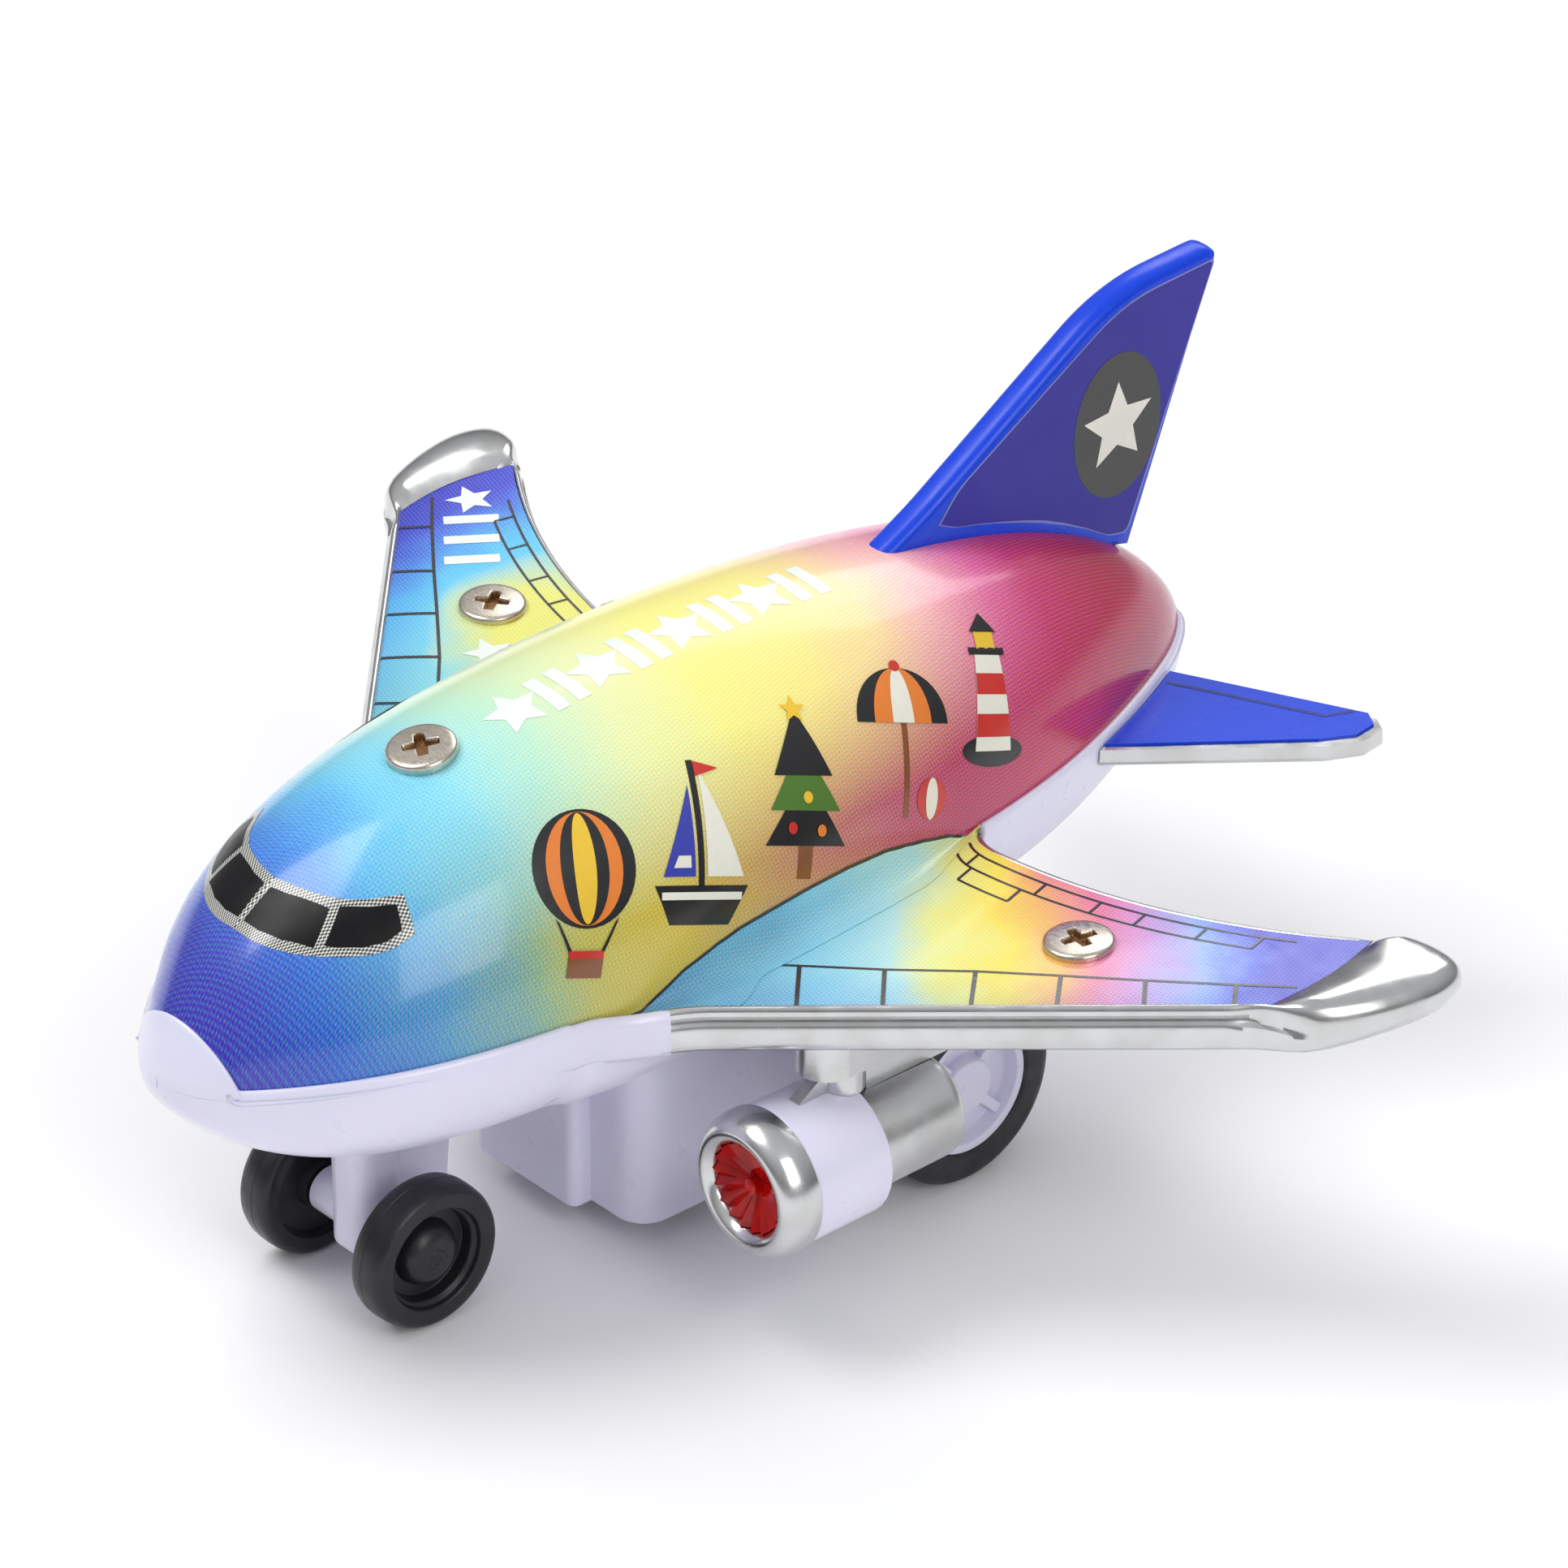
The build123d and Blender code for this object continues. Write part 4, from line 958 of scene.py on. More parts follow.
# Cockpit windows: (distance aft, length round the section).
UPPER_BAND = [(-52.1, 33.78), (-51.7, 30.4), (-50.9, 27.2), (-49.9, 24.8), (-47.8, 22.3),
              (-45.2, 20.6)]
LOWER_BAND = [(-46.0, 16.2), (-48.3, 15.9), (-50.6, 16.8), (-53.2, 19.2), (-54.6, 21.2),
              (-56.2, 25.4), (-56.9, 29.5), (-57.0, 33.78)]
FRONT_PANE = [(-52.9, 33.1), (-52.55, 30.3), (-51.75, 27.2), (-50.97, 24.47), (-53.8, 21.4),
              (-55.35, 25.6), (-56.05, 29.6), (-56.15, 33.1)]
SIDE_PANE = [(-50.23, 23.8), (-48.3, 21.6), (-46.2, 20.0), (-46.9, 17.2), (-48.5, 16.9),
             (-50.5, 17.8), (-52.2, 19.5), (-53.0, 20.75)]


def fuselage_prints(side):
    """Cockpit windows and pictograms on one side."""
    band = np.r_[through(UPPER_BAND, 30), through(LOWER_BAND, 36)]
    shapes = [(band, CHECKER_INK, 0), (FRONT_PANE, PANE_INK, 1), (SIDE_PANE, PANE_INK, 1)]
    signs = (balloon, sailboat, pine, parasol, lighthouse)
    for sign, aft in zip(signs, (-29.6, -16.4, -3.2, 10.4, 23.2)):
        around = 11.9 * ARC / max(form(aft)[0], 1)
        shapes += placed(sign(), (aft, around), -math.radians(20), 0.98)
    prints("print_side_" + SIDES[side], shapes, skin_point, side)


def top_prints():
    """White stars and pairs of bars along the top, in place of lettering."""
    shapes = []
    for k, aft in enumerate(np.linspace(-24.5, 11.0, 8)):
        outlines = [bar(aft + left, 29.4, aft + left + 1.5, 35.0) for left in (-2.0, 0.5)]
        if k % 2 == 0:
            outlines = [star((aft, 32.2), 3.3, 0.5)]
        shapes += [(outline, WHITE_INK, 0) for outline in outlines]
    prints("print_top", shapes, skin_point)


# Slanting panel lines of a wing, each from its inner to its outer end.
SLATS = [((26.8, -11.2), (31.8, -16.0)), ((33.2, -6.2), (37.7, -10.5)),
         ((39.7, -0.6), (43.7, -4.9)), ((46.1, 4.3), (49.5, 0.6)),
         ((52.5, 9.1), (55.4, 6.1)), ((59.2, 14.3), (61.5, 11.8))]
REAR_LINES = (1.3, 3.5, 5.9)    # distances of the panel lines in front of the rear edge


def wing_prints(side):
    """Panel lines, and white markings on the starboard wing."""
    rear = rear_edge(60)[3:]
    near, middle, far = (rear + np.array((0.25, -0.97)) * shift for shift in REAR_LINES)
    spine = [(23.6, -13.8), *[inner for inner, _ in SLATS], (63.6, 17.9)]
    shapes = [(stroke(slat, 0.42), LINE_INK, 1) for slat in SLATS]
    shapes.append((stroke(spine, 0.34), LINE_INK, 0))
    lines = [(near[1:49], 0), (middle[1:45], 0)]
    lines += [([near[k], middle[k]], 1) for k in (4, 15, 23, 29, 37, 44)]
    lines += [(far[5:14], 0), ([middle[5], far[5]], 1), ([middle[13], far[13]], 1)]
    shapes += [(stroke(line, 0.28), LINE_INK, layer) for line, layer in lines]
    if side < 0:
        shapes.append((star((60.6, 20.6), 2.7, 0.45, 20), WHITE_INK, 0))
        for spot in ((57.6, 18.2), (54.6, 15.8), (51.6, 13.4)):
            shapes.append((stroke(np.array(((-1.7, 2.3), (1.7, -2.3))) + spot, 1.5), WHITE_INK, 0))
        shapes.append((star((37.0, 3.6), 2.8, 0.45, 20), WHITE_INK, 0))
    prints("print_wing_" + SIDES[side], shapes, wing_point, side)


# How far up the fuselage the wing's print runs: (distance aft, length from the fillet's foot).
APRON = [(-27.6, 0.0), (-26.4, 0.1), (-24.8, 1.0), (-23.0, 2.0), (-21.2, 3.1), (-19.1, 3.9),
         (-16.9, 4.7), (-14.2, 5.2), (-10.0, 5.4), (-5.0, 5.55), (0.0, 5.45), (5.0, 5.0),
         (7.4, 4.4), (9.8, 3.4), (13.5, 1.4), (15.0, 0.3), (15.7, 0.0)]


def wing_apron(side):
    """Wing print where it runs up the fillet onto the fuselage, and the line that ends it."""
    afts = np.linspace(APRON[0][0], APRON[-1][0], 100)
    front_plan = front_edge(200)
    body, line, uv = [], [], []
    for aft, up in zip(afts, np.interp(afts, *np.array(APRON).T)):
        section = half_section(aft, 300)
        run = chord(section)
        slope = np.gradient(section, run, axis=0)
        outward = np.stack([slope[:, 1], -slope[:, 0]], -1)

        def climb(at, lift):
            """Points at lengths up the section, lifted off it."""
            made = [np.interp(at, run, section[:, k] + lift * outward[:, k]) for k in (0, 1)]
            return np.stack([side * made[0], np.full(len(at), aft), made[1]], -1)

        foot, at = section[0, 0], np.linspace(0, up, 16)
        edge = np.interp(aft, front_plan[:, 1], front_plan[:, 0]) - 0.12
        wide = max(0.0, min(edge - foot, 0.5 + 3.0 * (1 - float(smooth(aft, -20, -14)))))
        out = foot + np.linspace(wide, 0, 8)[:-1]
        flat = np.stack([side * out, np.full(7, aft), wing_height(out, aft) + 0.06], -1)
        body.append(np.r_[flat, climb(at, 0.06)])
        line.append(climb(np.array([up, up + 0.17, up + 0.34]), 0.08))
        uv.append(np.stack([np.r_[out, foot - at], np.full(23, aft)], -1))
    for rows, part, material, spots in ((body, "apron", WING_PRINTS[side], np.concatenate(uv)),
                                        (line, "root_line", LINE_INK, None)):
        faces = turned(grid_faces(len(rows), len(rows[0])), side < 0)
        made = make_object(f"print_{part}_{SIDES[side]}", np.concatenate(rows), faces, [material],
                           "airframe", uv=spots, sharp=180)


# ---- hull ------------------------------------------------------------------------------
def lip_growth(aft):
    """How far the hull stands out round the tin, rising from nothing at the nose."""
    return LIP * np.sqrt(smooth(aft, -66.6, -64.0))


# Section of the hull's lip: (out from the hull's side, above the lip's top).
HULL_LIP = np.array([
    (-1.35, -0.9), (-0.86, -0.10), (-0.62, 0.0), (-0.34, -0.06), (-0.13, -0.24), (-0.03, -0.5),
])


def hull_skin():
    """Moulded hull with a rounded lip, tucked under the nose cap and lowered under the wings."""
    afts = np.unique(np.r_[
        NOSE + 11 * np.linspace(0, 1, 50) ** 2, np.linspace(-55.5, -26, 60),
        np.linspace(-26, 14, 34), np.linspace(14, 20, 36), np.linspace(20, 57, 50),
        57 + 5.3 * np.sin(np.linspace(0, math.pi / 2, 24)),
    ])
    turns = np.linspace(0, math.pi, 73)
    joint = nose_start(0.0)
    rows = []
    for aft in afts:
        half, parting, top, bottom = form(aft)
        grown = half + lip_growth(aft) * (1 - smooth(aft, 60.5, 62.3))
        in_cap = 1 - smooth(aft, joint - 0.5, joint + 0.5)
        in_wing = smooth(aft, -34.5, -31.5) * (1 - smooth(aft, 17.2, 18.2))
        level = edge_height(aft) if aft < -5 else parting
        rise = LIP * (1 - in_cap) * (1 - in_wing) - 1.8 * in_wing
        side_top = min(parting, level + LIP - 0.6 - 2.6 * in_wing)
        x = grown * np.sign(np.cos(turns)) * np.abs(np.cos(turns)) ** (2 / FULLNESS)
        z = side_top - (side_top - bottom) * np.abs(np.sin(turns)) ** (2 / FULLNESS)
        lip = HULL_LIP * (1, min(1, (parting - bottom) / 5)) + (grown, rise + level)
        lip[:, 0] = np.maximum(lip[:, 0], 0)
        climb = np.linspace(0.3, 0.05, len(lip))
        tucked = np.stack([grown * np.cos(climb) - 0.15 * min(1, grown / 3),
                           parting + (top - parting + grown - half) * np.sin(climb)], -1)
        lip = lip * (1 - in_cap) + tucked * in_cap
        rows.append(stand(np.r_[lip, np.stack([x, z], -1), (lip * (-1, 1))[::-1]], aft))
    made = make_object("hull", np.concatenate(rows), grid_faces(len(rows), len(rows[0])),
                       [HULL], "airframe", sharp=75)
    thicken(made, 1.2)
    fix_normals(made)
    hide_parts("lower_hull")


def nose_cap():
    """Rounded nose of the hull, in front of the tin's slanted edge."""
    count, steps = 91, 40
    rim = ((0.03, 0.16), (0.12, 0.30), (0.28, 0.40), (0.5, 0.44), (1.2, 0.42))    # (in, aft)
    rows = []
    for k in range(count):
        turn = math.pi * k / (count - 1)
        afts = NOSE + (nose_start(turn) + 0.05 - NOSE) * np.linspace(0, 1, steps) ** 2
        half, parting, top = form(afts)[:3]
        grow = lip_growth(afts)
        x = (half + grow) * math.cos(turn)
        z = parting + (top - parting + grow) * math.sin(turn)
        edge = np.array((x[-1], z[-1]))
        inward = (0, parting[-1]) - edge
        inward = inward / np.linalg.norm(inward)
        rows.append(np.r_[np.stack([x, afts, z], -1), [
            (edge[0] + inward[0] * d, afts[-1] + a, edge[1] + inward[1] * d) for d, a in rim]])
    made = make_object("hull_nose_cap", np.concatenate(rows), grid_faces(count, len(rows[0])),
                       [HULL], "airframe", sharp=80)
    fix_normals(made)
    thicken(made, 0.8)


# ---- wing frames -----------------------------------------------------------------------
def frame_rail():
    """Matched inner and outer plan lines round a port wing frame, with a tip share for each."""
    front = front_edge(200)[20:]
    front_out = front + np.array((ALONG_LE[1], -ALONG_LE[0])) * 1.25
    rear = rear_edge(200)[14:][::-1]
    ahead = headings(rear)
    rear_out = rear + np.stack([ahead[:, 1], -ahead[:, 0]], -1) * 1.1
    tip_line = np.array([tip_edge(t) for t in np.linspace(0, 1, 60)])
    bulb = through([front_out[-14], front_out[-1] + (0.6, 0.2), (67.6, 14.6), (70.7, 19.0),
                    (72.4, 24.4), (72.7, 29.0), (71.2, 31.9), (67.8, 32.0), (64.9, 30.6),
                    rear_out[10]], 100)
    inner = np.r_[front[:-14], spread(np.r_[front[-14:], tip_line, rear[:11]], 100), rear[11:]]
    outer = np.r_[front_out[:-14], bulb, rear_out[11:]]
    reach = np.linalg.norm(outer - inner, axis=1)
    return inner, outer, smooth(reach, 1.5, 5.0)


# Section of the frame's bead and groove: (out from the tin's edge, above the tin).
FRAME_RIM = [
    (-0.35, -0.62), (-0.10, -0.50), (-0.02, -0.02), (0.06, 0.28), (0.26, 0.42), (0.50, 0.38),
    (0.72, 0.16), (0.80, -0.18), (0.79, -0.50), (0.81, -0.80), (0.92, -1.05), (1.12, -1.25),
]
# Columns of frame faces in the groove, which carry painted shade.
GROOVE_COLUMNS = (8, 9)


def wing_frame(side):
    """Plated frame: a bead along the top, a groove with painted shade, a full lower face and a
    swollen tip.
    """
    name = SIDES[side]
    inner, outer, share = frame_rail()
    rows = []
    for near, far, tip in zip(inner, outer, share):
        reach = np.linalg.norm(far - near)
        direction = (far - near) / max(reach, 1e-6)
        back = (near - LE_ROOT) @ BACK_FROM_LE
        depth = WING_DEPTH - WING_THIN * np.clip(back, 0, 40)
        level, under = wing_height(*near), wing_plane(*far) - depth
        face_top = level - 1.32
        sunk = 0.4 * float(smooth(back, 5, 12))
        rim = [(o * min(1.0, reach / 1.2), level + h - sunk) for o, h in FRAME_RIM]
        face = [(reach * out, face_top * above + under * below) for out, above, below in
                ((1.03, 0.7, 0.3), (1.03, 0.4, 0.6), (0.97, 0.14, 0.86))]
        rim += [(reach, face_top - 0.15), *face, (reach * 0.80, under + 0.10),
                (reach * 0.45, under - 0.02), (-1.5, under), (-4.0, under)]
        crown = 1.1 * min(1.0, reach / 6)
        dome = [(-0.35, level - 0.62), (-0.1, level - 0.5)]
        dome += [(reach * math.sin(0.5 * math.pi * k) ** 0.9,
                  level + 0.10 + crown * math.sin(math.pi * k ** 0.75) ** 0.9
                  + (under + depth * 0.45 - level) * k ** 3.2)
                 for k in np.linspace(0, 1, len(FRAME_RIM) - 2)]
        middle = under + depth * 0.30
        dome += [(reach, middle + 0.25 * depth * 0.4), (reach * 0.985, middle),
                 (reach * 0.95, under + depth * 0.16), (reach * 0.88, under + depth * 0.07),
                 (reach * 0.72, under + 0.05), (reach * 0.42, under), (-0.1, under), (-0.3, under)]
        section = np.array(rim) * (1 - tip) + np.array(dome) * tip
        plan = near + direction * section[:, :1]
        rows.append(np.c_[plan * (side, 1), section[:, 1]])
    count, columns = len(rows), len(rows[0])
    faces = grid_faces(count, columns)
    # Painted shade: faces in the groove columns get the darker plating copy, away from the tip.
    indices = [int(k % (columns - 1) in GROOVE_COLUMNS and share[k // (columns - 1)] < 0.02)
               for k in range(len(faces))]
    faces += [tuple(k * columns + columns - 1 for k in range(count)),
              *turned(end_faces(count, columns))]
    made = make_object(name + "_frame_shell", np.concatenate(rows), faces, [SILVER, SILVER_GROOVE_SHADE],
                       "airframe", indices + [0, 0, 0], 50)
    fix_normals(made)
    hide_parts(name + "_wing_frame")


# Sections of the fairing, at the fuselage and at the frame: (out from the tin's edge, above it).
FAIRING_START = np.array([
    (-1.0, -0.3), (-0.1, 0.2), (0.0, 0.62), (0.18, 0.78), (0.36, 0.78), (0.6, 0.6), (0.75, 0.25),
    (0.79, -0.4), (0.77, -1.2), (0.66, -2.4), (0.40, -3.6), (0.0, -4.4), (-1.0, -4.9), (-4.0, -5.0),
])
FAIRING_END = np.array([
    (-1.0, -0.5), (-0.1, -0.2), (0.04, 0.16), (0.2, 0.36), (0.42, 0.40), (0.75, 0.22),
    (1.05, -0.25), (1.22, -0.9), (1.28, -1.8), (1.28, -2.8), (1.2, -3.6), (0.95, -4.2),
    (0.3, -4.45), (-4.0, -4.5),
])


def root_fairing(side):
    """Hull plastic that sweeps out from the side to meet the front of the wing frame."""
    front = front_edge(200)[:23]
    afts = np.linspace(-41.0, ROOT_FROM, 40)[:-1]
    near = np.r_[np.stack([form(afts)[0], afts], -1), front]
    step = edge_height(ROOT_FROM) - wing_height(root_point(ROOT_FROM)[0], ROOT_FROM)
    levels = [edge_height(a) for a in afts]
    levels += [wing_height(*p) + step * root_fade(k / 199) for k, p in enumerate(front)]
    ahead = headings(near)
    rows = []
    for k, (inner, level) in enumerate(zip(near, levels)):
        share = float(smooth(k / (len(near) - 1), 0.05, 1.0))
        section = FAIRING_START * (1 - share) + FAIRING_END * share
        plan = inner + np.array((ahead[k][1], -ahead[k][0])) * section[:, :1]
        rows.append(np.c_[plan * (side, 1), level + section[:, 1]])
    count, columns = len(rows), len(rows[0])
    faces = grid_faces(count, columns, False, True) + end_faces(count, columns)
    made = make_object("hull_fairing_" + SIDES[side], np.concatenate(rows), faces, [HULL],
                       "airframe", sharp=60)
    fix_normals(made)


# ---- engines and wheels ----------------------------------------------------------------
def engine(side):
    """Cowl ring, faceted lens, barrel and tailpipe."""
    name = SIDES[side]
    centre = (side * ENGINE_X, ENGINE_Z)
    front = ENGINE_FRONT
    lip = through([(radius, front + along) for radius, along in (
        (4.72, 0.85), (5.05, 0.36), (5.65, 0.04), (6.3, 0.24), (6.9, 0.9), (7.26, 1.8),
        (7.42, 2.7), (7.42, 3.5))], 34)
    cowl = np.r_[[(4.62, RING_REAR), (4.62, front + 1.35), (4.64, front + 1.05)], lip,
                 [(7.38, RING_REAR - 0.10), (7.26, RING_REAR), (4.62, RING_REAR)]]
    made = lathe(name + "_cowl_ring", cowl, "y", centre, SILVER, "airframe", 128)
    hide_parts(name + "_engine_cowl")
    barrel = soften([(5.6, RING_REAR + 0.02), (7.12, RING_REAR + 0.02), (7.10, BARREL_REAR),
                     (0.01, BARREL_REAR)], 0.45)
    made = lathe(name + "_barrel", barrel, "y", centre, HULL, "airframe", 128, sharp=40)
    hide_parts(name + "_engine_barrel")
    pipe = soften([(0.01, BARREL_REAR + 0.02), (5.5, BARREL_REAR + 0.02), (5.42, PIPE_REAR - 0.1),
                   (2.1, PIPE_REAR + 0.05), (2.0, PIPE_REAR + 1.0), (0.01, PIPE_REAR + 1.1)],
                  [0, 0.1, 1.6, 0.3, 0.5, 0])
    made = lathe(name + "_exhaust", pipe, "y", centre, SILVER_GRAINY, "airframe", 96, sharp=40)
    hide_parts(name + "_tailpipe")
    sectors = 36
    rings = [(r, along, 0.0, 0.0 if r < 1.2 else 0.34 * (r / 4.6)) for r, along in (
        (0.0, 1.15), (0.45, 1.12), (0.8, 1.35), (0.95, 2.2), (1.5, 2.0), (2.8, 1.6), (4.1, 1.15),
        (4.55, 1.05))]
    rings += [(r, along, 0.5, 0.4 if 1 < r < 4.5 else 0.0) for r, along in (
        (4.58, 2.2), (4.58, 3.4), (2.4, 4.6), (0.6, 3.6), (0.0, 3.5))]
    points = []
    for radius, along, shift, flute in rings:
        for k in range(sectors):
            turn = 2 * math.pi * (k + shift) / sectors
            points.append((centre[0] + radius * math.cos(turn),
                           front + along + (flute if k % 2 else -flute),
                           centre[1] + radius * math.sin(turn)))
    made = make_object(name + "_lens_cut", points, grid_faces(len(rings), sectors, False, True),
                       [LENS], "airframe")
    fix_normals(made)
    made.data.set_sharp_from_angle(angle=math.radians(14))
    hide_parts(name + "_engine_lens")


def nose_wheel(side):
    """One-piece wheel: rounded tread with a mould seam, stepped recess and domed hub."""
    name = SIDES[side]
    profile = np.r_[
        [(0.01, 0.06), (0.42, 0.08), (0.50, -0.02), (0.9, 0.0), (0.98, 0.1)],
        through([(1.0, 0.12), (1.8, 0.2), (2.6, 0.6), (3.15, 1.3), (3.4, 2.2)], 14),
        soften([(3.45, 2.3), (4.7, 2.3), (4.8, 1.0), (5.25, 0.75), (5.35, 0.1), (6.4, 0.0),
                (6.9, 0.06)], [0, 0.2, 0.3, 0.2, 0.25, 0.3, 0]),
        [(7.0, 0.12), (7.28, 0.42), (7.5, 0.95), (7.58, 1.7), (7.6, 2.38), (7.545, 2.44),
         (7.6, 2.5), (7.58, 3.2), (7.46, 3.8), (7.15, 4.15), (6.7, 4.3)],
        [(5.7, 4.3), (5.3, 3.2), (2.7, 3.2), (2.3, 4.28), (1.02, 4.28), (1.02, 4.0)],
    ]
    made = lathe(name + "_nose_tyre", profile, "x", NOSE_AXLE, NOSE_BLACK, "nose_wheels", 128,
                 NOSE_FACE, side, 35)
    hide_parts(name + "_nose_wheel")


def main_wheel(side):
    """Flat-faced black tyre on a ribbed lavender hub."""
    name = SIDES[side]
    tyre = soften([(6.92, 0.25), (7.15, 0.0), (9.4, 0.0), (10.4, 0.75), (10.4, 5.65), (9.4, 6.4),
                   (7.1, 6.4), (6.92, 6.2), (6.92, 0.25)],
                  [0, 0.15, 0.7, 0.7, 0.7, 0.7, 0.15, 0.1, 0])
    made = lathe(name + "_tyre", tyre, "x", MAIN_AXLE, TYRE_BLACK, "main_wheels", 128, MAIN_FACE,
                 side)
    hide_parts(name + "_main_tyre")
    hub = soften([(0.01, 0.7), (2.9, 0.7), (3.15, 1.3), (3.2, 2.1), (5.7, 2.1), (6.1, 0.35),
                  (6.9, 0.3), (6.9, 6.1), (6.1, 6.2), (5.8, 3.7), (2.6, 3.7), (2.4, 6.3),
                  (1.15, 6.3), (1.15, 5.0)],
                 [0, 0.25, 0.2, 0.25, 0.5, 0.2, 0.1, 0.1, 0.2, 0.3, 0.3, 0.2, 0.1, 0])
    made = lathe(name + "_hub", hub, "x", MAIN_AXLE, HULL, "main_wheels", 96, MAIN_FACE, side)
    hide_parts(name + "_main_hub")
    for k in range(4):
        turn = math.pi * (k / 2 + 0.25)
        c, s = math.cos(turn), math.sin(turn)
        corners = [
            (side * (MAIN_FACE - depth), MAIN_AXLE[0] + r * c - sign * w * s,
             MAIN_AXLE[1] + r * s + sign * w * c)
            for r, w, depth in (
                (2.9, 0.55, 1.15), (2.9, 0.4, 2.2), (6.1, 0.4, 2.2), (6.1, 0.55, 1.0))
            for sign in (-1, 1)
        ]
        faces = [(0, 1, 3, 2), (2, 3, 5, 4), (4, 5, 7, 6), (6, 7, 1, 0), (0, 2, 4, 6), (1, 7, 5, 3)]
        made = make_object(f"{name}_hub_rib_{k + 1}", corners, faces, [HULL], "main_wheels",
                           sharp=30)
        fix_normals(made)
        bevel = made.modifiers.new("soft", "BEVEL")
        bevel.width, bevel.segments = 0.12 * MM, 3


# ---- screws ----------------------------------------------------------------------------
def screws():
    """Three nickel-plated truss heads with a cross recess."""
    radii = np.r_[np.arange(0.001, 2.15, 0.07), 2.4, 2.7, 2.95, 3.12, 3.25, 3.35, 3.42, 3.45, 3.45,
                  3.3]
    drops = {3.12: 0.02, 3.25: 0.06, 3.35: 0.13, 3.42: 0.24}    # the head's rounded edge
    skirt = (0.4, -0.2, -0.4)                                   # heights of the last rings
    turns = np.linspace(0, 2 * math.pi, 96, endpoint=False)
    slope = math.radians(11)
    places = [      # foot of the head, its direction, and the recess's turn in degrees
        ((0.0, -34.4, 55.5), (0.0, -math.sin(slope), math.cos(slope)), 12),
        ((43.3, 9.25, 36.62), (-0.045, -0.045, 1.0), 30),
        ((-43.3, 9.25, 36.62), (0.045, -0.045, 1.0), 80),
    ]
    points, faces, indices = [], [], []
    for centre, normal, spin in places:
        up = Vector(normal).normalized()
        right = up.orthogonal().normalized()
        ahead = up.cross(right)
        c, s = math.cos(math.radians(spin)), math.sin(math.radians(spin))
        start = len(points)
        for index, radius in enumerate(radii):
            for turn in turns:
                u, v = radius * math.cos(turn), radius * math.sin(turn)
                p, q = abs(u * c + v * s), abs(v * c - u * s)
                arm, blade = max(p, q), min(p, q)
                inside = min(1.75 - arm, 0.62 - 0.12 * arm - blade, 9)
                height = 0.95 - 0.014 * radius ** 2 - drops.get(round(float(radius), 2), 0.0)
                height -= 0.85 * float(smooth(inside, -0.05, 0.16))
                if index >= len(radii) - len(skirt):
                    height = skirt[index - len(radii) + len(skirt)]
                points.append(tuple(Vector(centre) + right * u + ahead * v + up * height))
        for face in grid_faces(len(radii), len(turns), False, True, start):
            faces.append(face)
            depth = (Vector(points[face[0]]) - Vector(centre)).dot(up)
            indices.append(1 if depth < 0.45 and (face[0] - start) // len(turns) < 30 else 0)
    made = make_object("skin_screw_heads", points, faces, [SCREW, RECESS], "airframe", indices, 55)
    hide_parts("skin_screws")


# ---- fin and tailplane -----------------------------------------------------------------
def fin():
    """Moulded fin with fully rounded front and top edges."""
    path = soften([(19.6, 50.0), (19.6, 55.2), (27.4, 59.2), (52.6, 75.0), (66.5, 75.8),
                   (54.9, 46.0)], [0, 1.6, 3.0, 6.5, 2.2, 0], 14)
    path = np.r_[path, spread(np.array([(54.9, 46.0), (38.0, 46.0), (19.6, 50.0)]), 20)[1:-1]]
    ahead = np.roll(path, -1, 0) - np.roll(path, 1, 0)
    ahead /= np.linalg.norm(ahead, axis=1)[:, None]
    inward = np.stack([ahead[:, 1], -ahead[:, 0]], -1)
    inward *= (1 - 0.75 * smooth(-ahead[:, 1], 0.3, 0.9))[:, None]
    rounding = [(0.0, 0.45), (0.07, 0.85), (0.22, 1.2), (0.46, 1.5), (0.78, 1.68), (1.15, FIN_HALF)]
    layers = rounding[::-1] + [(inset, -half) for inset, half in rounding]
    rows = [np.c_[np.full(len(path), half), path + inward * inset] for inset, half in layers]
    faces = grid_faces(len(rows), len(path), False, True)
    spots, triangles = fill(path + inward * rounding[-1][0], 60)
    for half in (FIN_HALF, -FIN_HALF):
        start = sum(len(row) for row in rows)
        rows.append(np.c_[np.full(len(spots), half), spots])
        faces += [tuple(start + k for k in face) for face in triangles]
    made = make_object("fin_shell", np.concatenate(rows), faces, [BLUE], "airframe", sharp=50)
    fix_normals(made)
    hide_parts("tail_fin")


def fin_point(aft, height, lift):
    """Point on the fin's side."""
    return np.stack([np.full_like(aft, FIN_HALF + lift), aft, height], -1)


def fin_markings(side):
    """Indigo label on the fin's side, with a star on a dark disc."""
    afts = np.linspace(52.0, 31.0, 8)
    foot = np.stack([afts, form(afts)[2] + 1.3 - 0.03 * (afts - 31)], -1)
    edge = soften([(28.9, 57.4), (31.4, 60.5), (53.4, 73.6), (65.8, 74.4), (54.6, 47.4), *foot,
                   (28.9, 57.4)], [0, 1.5, 4.5, 0.7, 0.9] + [0.5] * 8 + [0])[:-1]
    middle = edge.mean(0)
    inner = edge + (middle - edge) / np.linalg.norm(middle - edge, axis=1)[:, None] * 0.3
    emblem = (52.8, 60.2)
    shapes = [(edge, STICKER_EDGE, 0), (inner, STICKER, 1), (disc(emblem, 5.9, 1.35), BLACK_INK, 2),
              (star(emblem, 4.8, 0.46), CREAM_INK, 3)]
    made = prints("fin_label_" + SIDES[side], shapes, fin_point, side)
    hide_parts(SIDES[side] + "_fin_sticker")


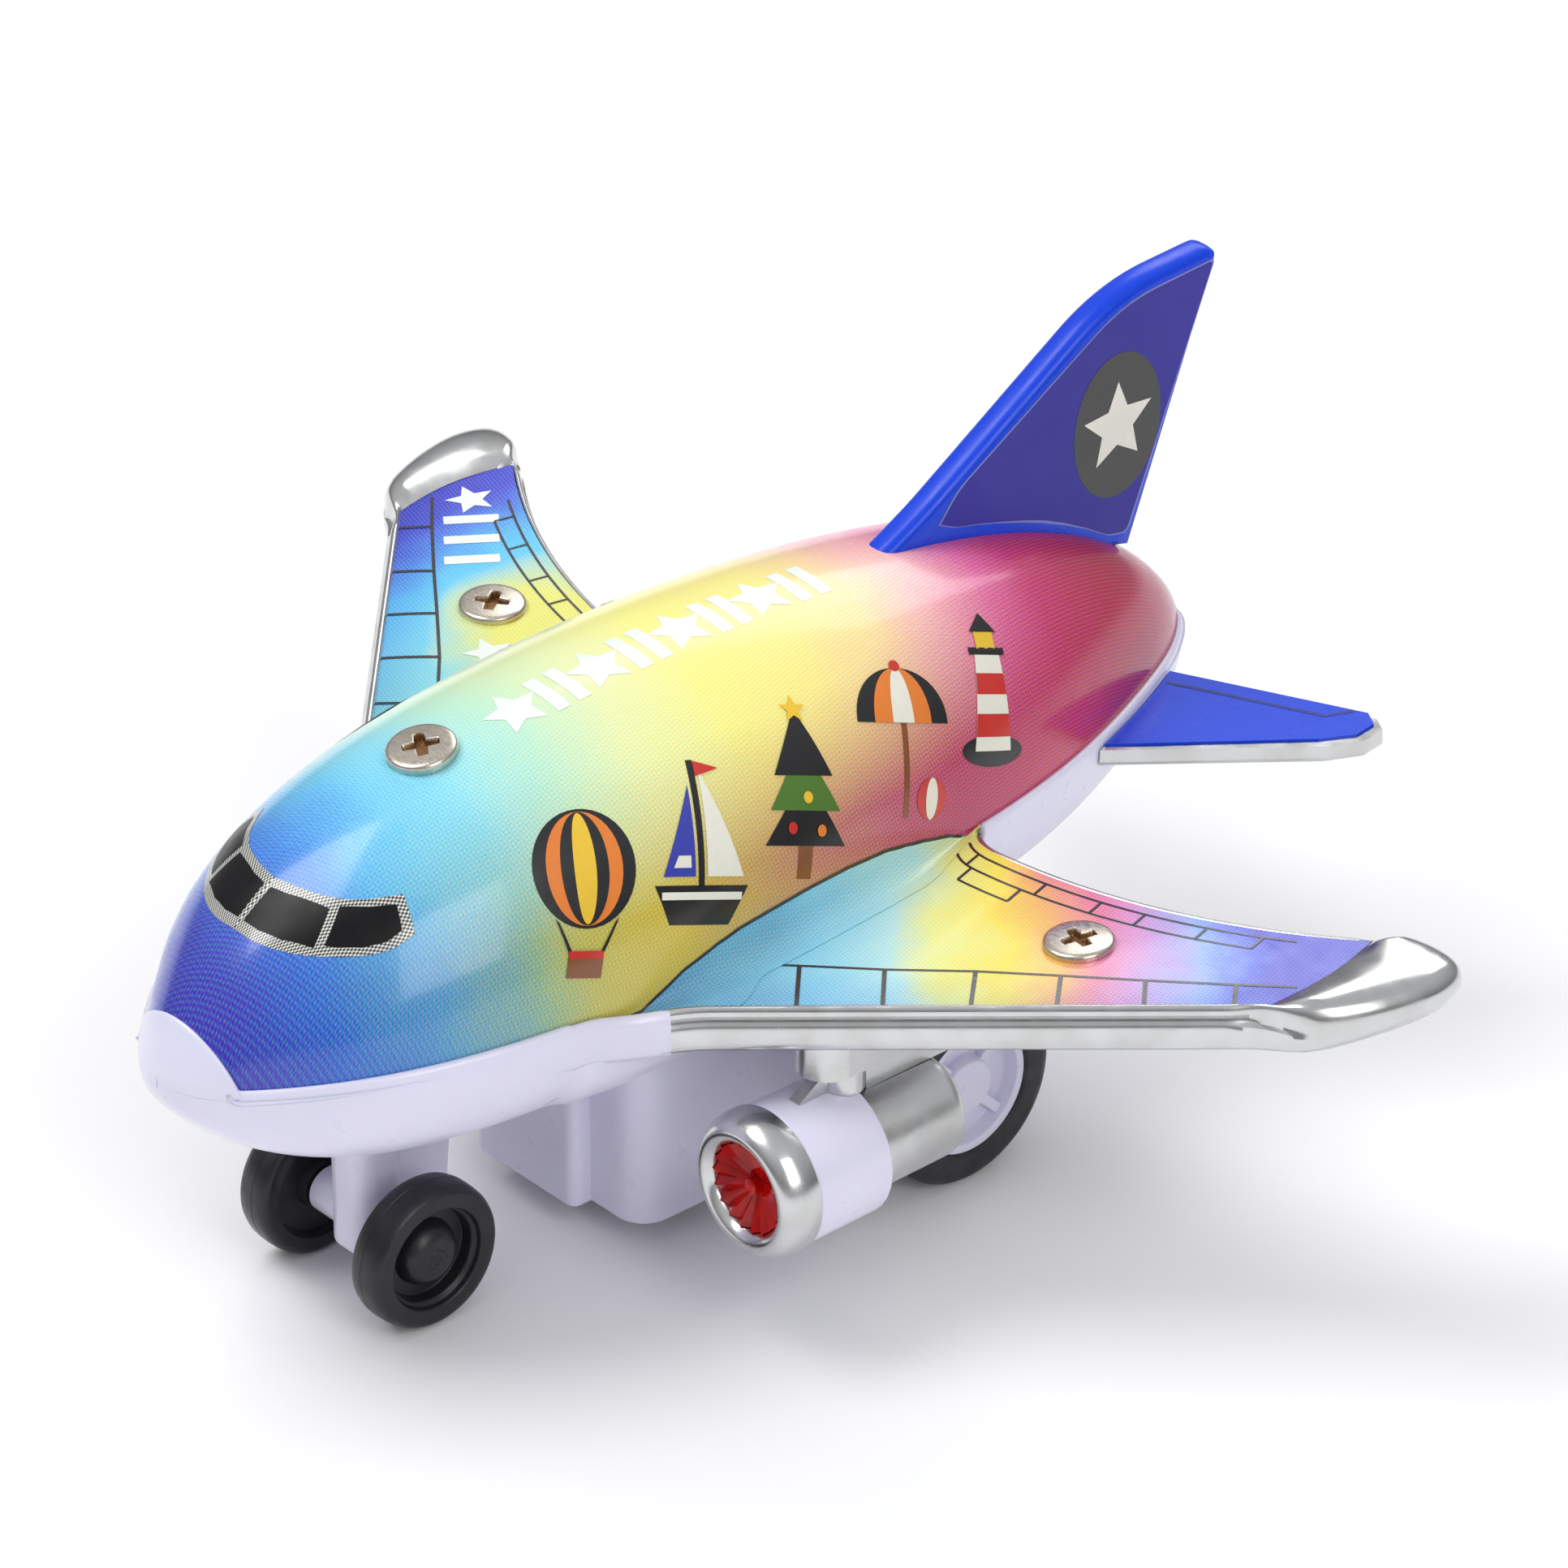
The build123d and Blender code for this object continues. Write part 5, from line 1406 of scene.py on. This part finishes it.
def tailplane_line(side):
    """Painted shade of the moulded line in front of a tailplane's rear edge, turning back to it at
    the tip: a flat strip of darker blue.
    """
    spots, triangles = fill(stroke([(11.2, 51.4), (27.4, 57.5), (28.7, 60.2)], 0.5), 1.0)
    height = 34.82 + 0.05 * spots[:, 0] + 0.03
    points = np.stack([side * spots[:, 0], spots[:, 1], height], -1)
    made = make_object("tailplane_line_" + SIDES[side], points, turned(triangles, side < 0),
                       [BLUE_LINE_SHADE], "airframe", sharp=180)


# ---- CAD nodes that stay ---------------------------------------------------------------
def recolour():
    """Give every CAD node that stays shown its finished material."""
    board = plastic("board_green", srgb(28, 92, 52), 0.45, 0.08)
    dark = plastic("dark_plastic", srgb(30, 30, 34), 0.45, 0.08)
    ivory = plastic("gear_ivory", srgb(226, 224, 214), 0.4, 0.04)
    led = Finish("led_clear", Transmission_Weight=0.9, IOR=1.5)
    pink, white = srgb(250, 230, 230), srgb(255, 250, 248)
    led.set("Base Color", led.mix("MIX", led.noise(0.6, 3), pink, white))
    led.gloss(0.8, 3, 0.04, 0.12)
    brass = steel("gear_brass", srgb(204, 168, 92), 0.3)
    iron = steel("flywheel_iron", srgb(132, 132, 136), 0.38)
    plate = steel("motor_plate_steel", srgb(186, 188, 192), 0.34)
    by_slot = {
        "hull_plastic": HULL, "screw_steel": SCREW, "cell_steel": plate, "contact_metal": plate,
        "board": board, "speaker": dark, "switch_metal": plate, "blue_plastic": BLUE,
        "silver_plating": SILVER, "red_lens": LENS, "led_clear": led.material, "sticker": STICKER,
        "motor_metal": plate, "axle_steel": AXLE, "nose_wheel": NOSE_BLACK, "main_tyre": TYRE_BLACK,
        "gear_plastic": ivory, "gear_brass": brass, "flywheel_metal": iron, "switch_plastic": dark,
        "printed_tin": BODY_PRINT,
    }
    for part in frame["record"]["subparts"]:
        node = NODES[part["node"]]
        node.data.materials.clear()
        node.data.materials.append(by_slot[part["material_slot"]])


# ---- camera, light and floor -----------------------------------------------------------
def make_camera():
    """Long-lens camera at the photograph's angle."""
    camera = link("camera", bpy.data.cameras.new("camera"))
    camera.location = (0.48832, -0.41892, 0.41710)
    camera.rotation_euler = Euler((math.radians(90 - 30.468), 0, math.radians(48.676)))
    camera.data.lens = 177.2
    camera.data.sensor_width = 36
    camera.data.clip_start = 0.01
    bpy.context.scene.camera = camera


def area_light(name, place, size, power):
    """Soft rectangular light aimed at the airplane."""
    data = bpy.data.lights.new(name, "AREA")
    data.shape = "RECTANGLE"
    data.size, data.size_y = size
    data.energy = power
    light = link(name, data)
    light.location = place
    aim = Vector((0, 0, 0.03)) - Vector(place)
    light.rotation_euler = aim.to_track_quat("-Z", "Y").to_euler()


def make_stage():
    """Pale floor, bright surroundings and soft boxes."""
    world = bpy.data.worlds.new("studio")
    bpy.context.scene.world = world
    world.use_nodes = True
    sky = world.node_tree
    place = sky.nodes.new("ShaderNodeSeparateXYZ")
    sky.links.new(sky.nodes.new("ShaderNodeTexCoord").outputs["Generated"], place.inputs[0])
    rise = sky.nodes.new("ShaderNodeMapRange")
    for key, value in (("From Min", -0.05), ("From Max", 0.75), ("To Min", 0.16), ("To Max", 0.60)):
        rise.inputs[key].default_value = value
    sky.links.new(place.outputs[2], rise.inputs["Value"])
    sky.links.new(rise.outputs[0], sky.nodes["Background"].inputs["Strength"])
    sky.nodes["Background"].inputs["Color"].default_value = (0.97, 0.98, 1, 1)
    area_light("key", (-0.30, -0.30, 0.75), (0.45, 0.45), 3.5)
    area_light("side", (0.70, -0.10, 0.50), (0.35, 0.55), 2.2)
    area_light("back", (-0.30, 0.60, 0.60), (0.6, 0.3), 1.7)
    mesh = bpy.data.meshes.new("floor")
    mesh.from_pydata([(-3, -3, 0), (3, -3, 0), (3, 3, 0), (-3, 3, 0)], [], [(0, 1, 2, 3)])
    floor = link("floor", mesh)
    f = Finish("floor_paper")
    f.set("Base Color", f.mix("MIX", f.noise(0.004, 3), srgb(246, 246, 247), srgb(250, 250, 250)))
    f.gloss(0.02, 3, 0.75, 0.9)
    floor.data.materials.append(f.material)
    bpy.context.scene.view_settings.view_transform = "Standard"


# ---- assembly --------------------------------------------------------------------------
make_camera()
make_stage()
recolour()
fuselage_tin()
hull_skin()
nose_cap()
top_prints()
screws()
fin()
for which in SIDES:
    for build in (wing_tin, wing_frame, root_fairing, fuselage_prints, wing_prints, wing_apron,
                  fin_markings, tailplane_line, engine, nose_wheel, main_wheel):
        build(which)
